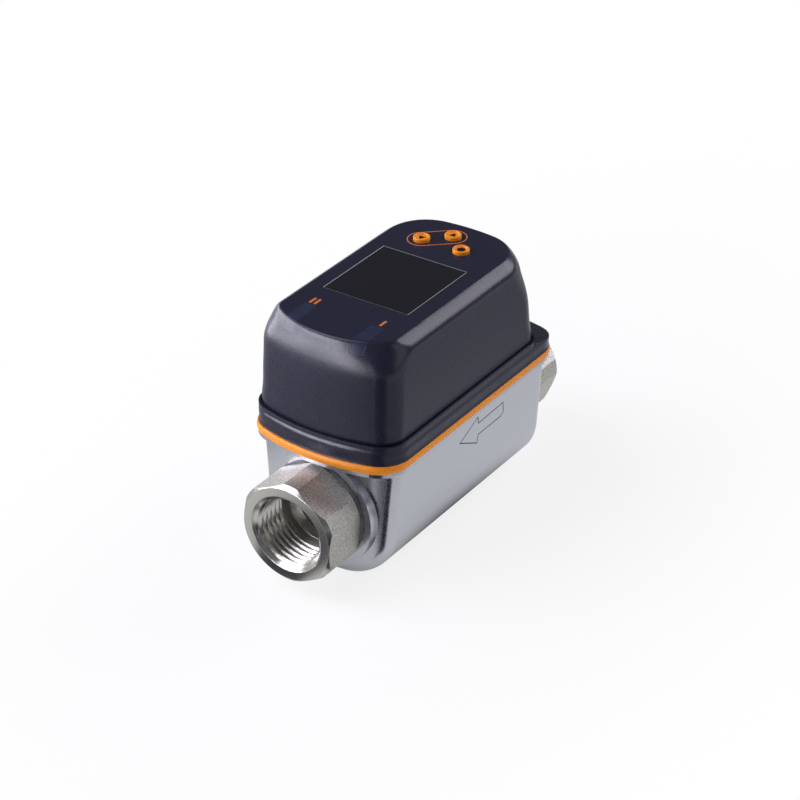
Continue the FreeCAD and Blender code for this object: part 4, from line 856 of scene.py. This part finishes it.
class METER_OT_display(bpy.types.Operator):
    """Give the display its dark cover and the fine sloping rim round it"""

    bl_idname = "meter.display"
    bl_label = "Display"

    def execute(self, context):
        wear(hard_coated_polycarbonate(linear("#090A15")), "display_window")
        wear(moulded_polyamide("display_frame", linear("#17171A"), 0.4), "display_module")
        low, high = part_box("display_window")
        inset = RIM_WIDTH / 2.0 - RIM_LAP
        corners = np.array([
            (low.x + inset, low.y + inset), (high.x - inset, low.y + inset),
            (high.x - inset, high.y - inset), (low.x + inset, high.y - inset),
        ])
        rim = ribbon("display_rim", corners, RIM_WIDTH, -BOTTOM_OF_MARK, RIM_HEIGHT, on_crown,
                     RIM_INNER_HEIGHT)
        polished = moulded_polyamide("polished_rim", linear("#1B1C26"), 0.18, height=0.002 * MM)
        keep(rim, polished)
        return {"FINISHED"}


class METER_OT_light_windows(bpy.types.Operator):
    """Give the two light windows their smoked polycarbonate, and the lamps under them a pale lens"""

    bl_idname = "meter.light_windows"
    bl_label = "Light windows"

    def execute(self, context):
        wear(smoked_polycarbonate(linear("#262C44")), "led_window_left", "led_window_right")
        wear(clear_epoxy_lens(linear("#F4F0E0")), "status_led_left", "status_led_right")
        return {"FINISHED"}


class METER_OT_connector(bpy.types.Operator):
    """Cut the M12 thread on the connector, and finish its insert, contacts and nut"""

    bl_idname = "meter.connector"
    bl_label = "Connector"

    def execute(self, context):
        brass = nickel_plated_brass(linear("#CFC8BC"))
        low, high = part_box("connector_shell")
        shell = threaded_shell("connector_shell_threaded", low, high, mount_of("connector_thread"),
                               context.scene.meter_sizes)
        keep(shell, brass)
        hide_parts("connector_shell")
        wear(brass, "connector_shell", "connector_nut")
        wear(moulded_polyamide("contact_carrier", linear("#101010"), 0.45), "connector_insert")
        gold = gold_flashed_contact(linear("#E6BE6A"))
        wear(gold, *["connector_contact_%d" % number for number in range(1, 5)])
        return {"FINISHED"}


class METER_OT_measuring_insert(bpy.types.Operator):
    """Finish the measuring tube inside the housing, with its shedder bar, sensors, clamp and leads"""

    bl_idname = "meter.measuring_insert"
    bl_label = "Measuring insert"

    def execute(self, context):
        sulphide = moulded_polyamide("glass_filled_sulphide", linear("#2B2724"), 0.5,
                                     size=0.4 * MM, height=0.01 * MM)
        wear(sulphide, "measuring_tube", "bluff_body", "vortex_sensor")
        wear(tumbled_stainless(linear("#C6C5C3")), "temperature_probe", "sensor_clamp", "clamp_screws",
             "board_spacers", "board_screws", "switch_case_left", "switch_case_middle", "switch_case_right")
        wear(polyurethane_jacket(linear("#26262A")), "sensor_lead", "probe_lead", "connector_lead")
        return {"FINISHED"}


class METER_OT_electronics(bpy.types.Operator):
    """Finish the two circuit boards, the plug strip between them and the switch plungers"""

    bl_idname = "meter.electronics"
    bl_label = "Electronics"

    def execute(self, context):
        wear(solder_resist(linear("#155A34")), "display_board", "main_board")
        wear(moulded_polyamide("black_polyester", linear("#141414"), 0.42), "board_header",
             "switch_plunger_left", "switch_plunger_middle", "switch_plunger_right")
        return {"FINISHED"}


class METER_OT_stage(bpy.types.Operator):
    """Set up the pale floor, the soft lamps, the surroundings and the camera"""

    bl_idname = "meter.stage"
    bl_label = "Stage"

    def execute(self, context):
        studio = context.scene.meter_studio
        stage_floor()
        stage_lamps(studio)
        stage_cards()
        stage_surroundings(context.scene, studio)
        stage_camera(context.scene, studio)
        context.scene.view_settings.view_transform = "Standard"
        return {"FINISHED"}


# Floor: half its side, rows and columns, and level
FLOOR_HALF = 3.0
FLOOR_STEPS = 9
FLOOR_LEVEL = -0.02 * MM
# factors on X, Y and Z in a distance from the meter
DISTANCE_FACTORS = (1.0, 0.5, 1.0)
# the floor as the camera sees it: distances where white starts and is full, and the share before it starts
SEEN_WHITE = (0.03, 0.14, 0.8)
# the floor as metal shows it, painted as a reflection: bands of painted shade, grey close under the meter
# where they stand for its shadow and darker again further out, each as distance from the meter and share of
# white, and the white's tint
PAINTED_REFLECTION_BANDS = [
    (0.015, 0.12), (0.025, 0.62), (0.032, 0.78), (0.06, 0.76), (0.09, 0.42), (0.13, 0.5), (0.2, 0.95),
]
PAINTED_REFLECTION_TINT = (0.96, 0.97, 1.0)

# Lamps: name, place, size and radiance
LAMPS = [
    ("softbox_rear_right", (0.45, 0.8, 0.56), (0.6, 0.5), 5.5),
    ("strip_front", (-0.215, -0.415, 0.09), (0.36, 0.19), 12.5),
    ("strip_left", (-0.42, -0.16, 0.1), (0.32, 0.21), 8.0),
    ("strip_side", (-0.98, 0.2, 0.2), (0.5, 0.4), 4.0),
    ("key_softbox", (-0.5, -0.52, 0.85), (0.85, 0.8), 3.6),
    ("fill_right", (1.2, 0.1, 0.6), (0.8, 0.8), 1.1),
]
REFLECTED_ONLY = ("strip_front",)
LAMP_TARGET = Vector((0.0, 0.0, 0.035))

# Black cards that only reflections see, painting dark reflections in the steel's front-right corner and in
# the fitting's bore: name, apex, nearest and furthest reach, first and last turn in degrees from straight
# ahead
CARDS = [
    ("card_by_corner", (0.0165, -0.038), (0.009, 0.6), (-2.0, 47.0)),
    ("card_before_mouth", (-0.004, -0.04), (0.0187, 0.055), (-29.0, 9.5)),
]
CARD_ROWS = 5
CARD_COLUMNS = 16
CARD_LEVEL = 0.3 * MM
# Grey card that glows and only reflections see, painting a grey reflection in the metal on the meter's left:
# how far to the left it stands, how it runs along the pipe, and how high it is
GLOWING_GREY_CARD = (-0.06, (-0.1, 0.03), 0.036)
GREY_ROWS = 3
GREY_COLUMNS = 5

# Camera
CAMERA_PLACE = Vector((0.34487, -0.5109, 0.4015))
CAMERA_TARGET = Vector((0.001813, -0.0059, 0.034945))
CAMERA_CLIP = (0.05, 20.0)
SENSOR = 36.0


def mix(tree, share, first, second):
    """A shader that goes from the first to the second with a share."""
    node = add_node(tree, "ShaderNodeMixShader", links={0: share, 1: first, 2: second})
    return node.outputs["Shader"]


def stage_floor():
    """A plain pale floor, white to the camera, with the meter's shadow kept close round it.

    White is mixed in with the distance from the meter, measured half as far along the pipe as across it.
    Metal does not see this floor but a painted reflection of it: an emission in bands of painted shade, grey
    close under the meter where it stands for the meter's shadow, darker again further out, and white beyond.
    """
    places = np.linspace(-FLOOR_HALF, FLOOR_HALF, FLOOR_STEPS)
    across, along = np.meshgrid(places, places, indexing="ij")
    points = np.stack([across, along, np.full_like(across, FLOOR_LEVEL)], axis=-1)
    floor = surface("floor", points, wrap_rows=False, wrap_columns=False)
    material = bpy.data.materials.new("painted_white_board")
    material.use_nodes = True
    tree = material.node_tree
    tree.nodes.clear()
    place = add_node(tree, "ShaderNodeTexCoord")
    factored = add_node(tree, "ShaderNodeVectorMath", {1: DISTANCE_FACTORS}, {0: place.outputs["Object"]},
                        operation="MULTIPLY")
    length = add_node(tree, "ShaderNodeVectorMath", links={0: factored.outputs["Vector"]}, operation="LENGTH")
    distance = length.outputs["Value"]
    near, far, least = SEEN_WHITE
    seen_share = remap(tree, distance, near, far, least, 1.0, interpolation_type="SMOOTHSTEP")
    reach = PAINTED_REFLECTION_BANDS[-1][0]
    level = add_node(tree, "ShaderNodeValToRGB", links={"Fac": remap(tree, distance, 0.0, reach, 0.0, 1.0)})
    stops = level.color_ramp.elements
    for step, (away, share) in enumerate(PAINTED_REFLECTION_BANDS):
        stop = stops[step] if step < len(stops) else stops.new(1.0)
        stop.position = away / reach
        stop.color = opaque([share * part for part in PAINTED_REFLECTION_TINT])
    ray = add_node(tree, "ShaderNodeLightPath")
    paint = add_node(tree, "ShaderNodeBsdfDiffuse", {"Color": opaque(linear("#FAFAFB"))})
    white = add_node(tree, "ShaderNodeEmission", {"Color": WHITE, "Strength": 1.0})
    # painted reflection: what metal shows of the floor is this emission, painted with the shade bands above
    painted_reflection = add_node(tree, "ShaderNodeEmission", links={"Color": level.outputs["Color"]})
    white_share = add_node(tree, "ShaderNodeMath", links={0: seen_share, 1: ray.outputs["Is Camera Ray"]},
                           operation="MULTIPLY")
    seen = mix(tree, white_share.outputs["Value"], paint.outputs["BSDF"], white.outputs["Emission"])
    both = mix(tree, ray.outputs["Is Glossy Ray"], seen, painted_reflection.outputs["Emission"])
    add_node(tree, "ShaderNodeOutputMaterial", links={"Surface": both})
    floor.data.materials.append(material)


def stage_lamps(studio):
    """Soft boxes round the meter, each turned to its middle. Reflections alone see some of them."""
    for name, place, size, radiance in LAMPS:
        data = bpy.data.lights.new(name, "AREA")
        data.shape = "RECTANGLE"
        data.color = linear("#F5F3FF")
        data.size, data.size_y = size
        data.energy = radiance * math.pi * size[0] * size[1] * studio.lamp_level
        lamp = bpy.data.objects.new(name, data)
        bpy.context.scene.collection.objects.link(lamp)
        lamp.location = place
        lamp.rotation_euler = (LAMP_TARGET - Vector(place)).to_track_quat("-Z", "Y").to_euler()
        lamp.visible_camera = False
        lamp.visible_diffuse = name not in REFLECTED_ONLY


def stage_card(name, points, material):
    """A card that only reflections see, so that it paints a reflection."""
    card = surface(name, points, wrap_rows=False, wrap_columns=False)
    card.data.materials.append(material)
    card.visible_camera = False
    card.visible_diffuse = False
    card.visible_shadow = False


def stage_cards():
    """Black cards on the floor towards the camera, which paint dark reflections in the metal, and a grey one
    that stands on the left and glows, which paints a grey reflection. Only reflections see them.

    A black card is a fan: rows run out from its apex, and columns turn from the left round to the right.
    The grey one is upright: rows run up, and columns run along the pipe.
    """
    # painted dark reflection: the near-black card that the metal shows
    black = new_material("black_card", linear("#2C2A36"), 0.0, 0.9, Specular_IOR_Level=0.0)[0]
    for name, apex, reaches, turns in CARDS:
        turn = np.radians(np.linspace(*turns, CARD_COLUMNS))[None, :]
        reach = np.linspace(*reaches, CARD_ROWS)[:, None]
        across = apex[0] + reach * np.sin(turn)
        along = apex[1] - reach * np.cos(turn)
        stage_card(name, np.stack([across, along, np.full_like(across, CARD_LEVEL)], axis=-1), black)
    # painted reflection: the grey card glows, so that the metal on the left shows it as a grey light
    grey = new_material("grey_card", linear("#3C3A48"), 0.0, 0.9, Specular_IOR_Level=0.0,
                        Emission_Color=WHITE, Emission_Strength=0.5)[0]
    place, run, high = GLOWING_GREY_CARD
    along, up = np.meshgrid(np.linspace(*run, GREY_COLUMNS), np.linspace(CARD_LEVEL, high, GREY_ROWS))
    stage_card("grey_card_left", np.stack([np.full_like(along, place), along, up], axis=-1), grey)


def stage_surroundings(scene, studio):
    """White where the camera looks past the floor, and a soft grey studio for light and reflections."""
    world = bpy.data.worlds.new("studio")
    scene.world = world
    world.use_nodes = True
    tree = world.node_tree
    tree.nodes.clear()
    ray = add_node(tree, "ShaderNodeLightPath")
    room = add_node(tree, "ShaderNodeBackground",
                    {"Color": opaque(linear("#EDEEF4")), "Strength": studio.sky_level})
    white = add_node(tree, "ShaderNodeBackground", {"Color": WHITE, "Strength": 1.0})
    seen = mix(tree, ray.outputs["Is Camera Ray"], room.outputs["Background"], white.outputs["Background"])
    add_node(tree, "ShaderNodeOutputWorld", links={"Surface": seen})


def stage_camera(scene, studio):
    """The camera at the photograph's own angle and distance."""
    data = bpy.data.cameras.new("camera")
    data.sensor_width = SENSOR
    data.lens = studio.lens
    data.clip_start, data.clip_end = CAMERA_CLIP
    camera = bpy.data.objects.new("camera", data)
    scene.collection.objects.link(camera)
    camera.location = CAMERA_PLACE
    camera.rotation_euler = (CAMERA_TARGET - CAMERA_PLACE).to_track_quat("-Z", "Y").to_euler()
    scene.camera = camera


OPERATORS = (
    METER_OT_lower_housing,
    METER_OT_fittings,
    METER_OT_pipe_threads,
    METER_OT_flow_arrow,
    METER_OT_seal_band,
    METER_OT_hood,
    METER_OT_light_marks,
    METER_OT_button_loop,
    METER_OT_buttons,
    METER_OT_display,
    METER_OT_light_windows,
    METER_OT_connector,
    METER_OT_measuring_insert,
    METER_OT_electronics,
    METER_OT_stage,
)


class METER_PT_sidebar(bpy.types.Panel):
    """Lists the meter's pieces and the stage"""

    bl_idname = "METER_PT_sidebar"
    bl_label = "Flow meter"
    bl_space_type = "VIEW_3D"
    bl_region_type = "UI"
    bl_category = SIDEBAR

    def draw(self, context):
        for group in [getattr(context.scene, name) for name in GROUPS]:
            box = self.layout.box()
            for name in group.__annotations__:
                box.prop(group, name)
        for operator in OPERATORS:
            self.layout.operator(operator.bl_idname)


GROUPS = {"meter_sizes": MeterSizes, "meter_colours": MeterColours, "meter_studio": MeterStudio}


def register():
    """Registers the property groups, the operators and the panel."""
    for name, group in GROUPS.items():
        bpy.utils.register_class(group)
        setattr(bpy.types.Scene, name, bpy.props.PointerProperty(type=group))
    for kind in OPERATORS + (METER_PT_sidebar,):
        bpy.utils.register_class(kind)


def unregister():
    """Takes them out again, last one first."""
    for kind in reversed(OPERATORS + (METER_PT_sidebar,)):
        bpy.utils.unregister_class(kind)
    for name, group in reversed(GROUPS.items()):
        delattr(bpy.types.Scene, name)
        bpy.utils.unregister_class(group)


def main():
    """Runs every operator in turn."""
    register()
    for operator in OPERATORS:
        group, name = operator.bl_idname.split(".")
        getattr(getattr(bpy.ops, group), name)()


if __name__ == "__main__":
    main()
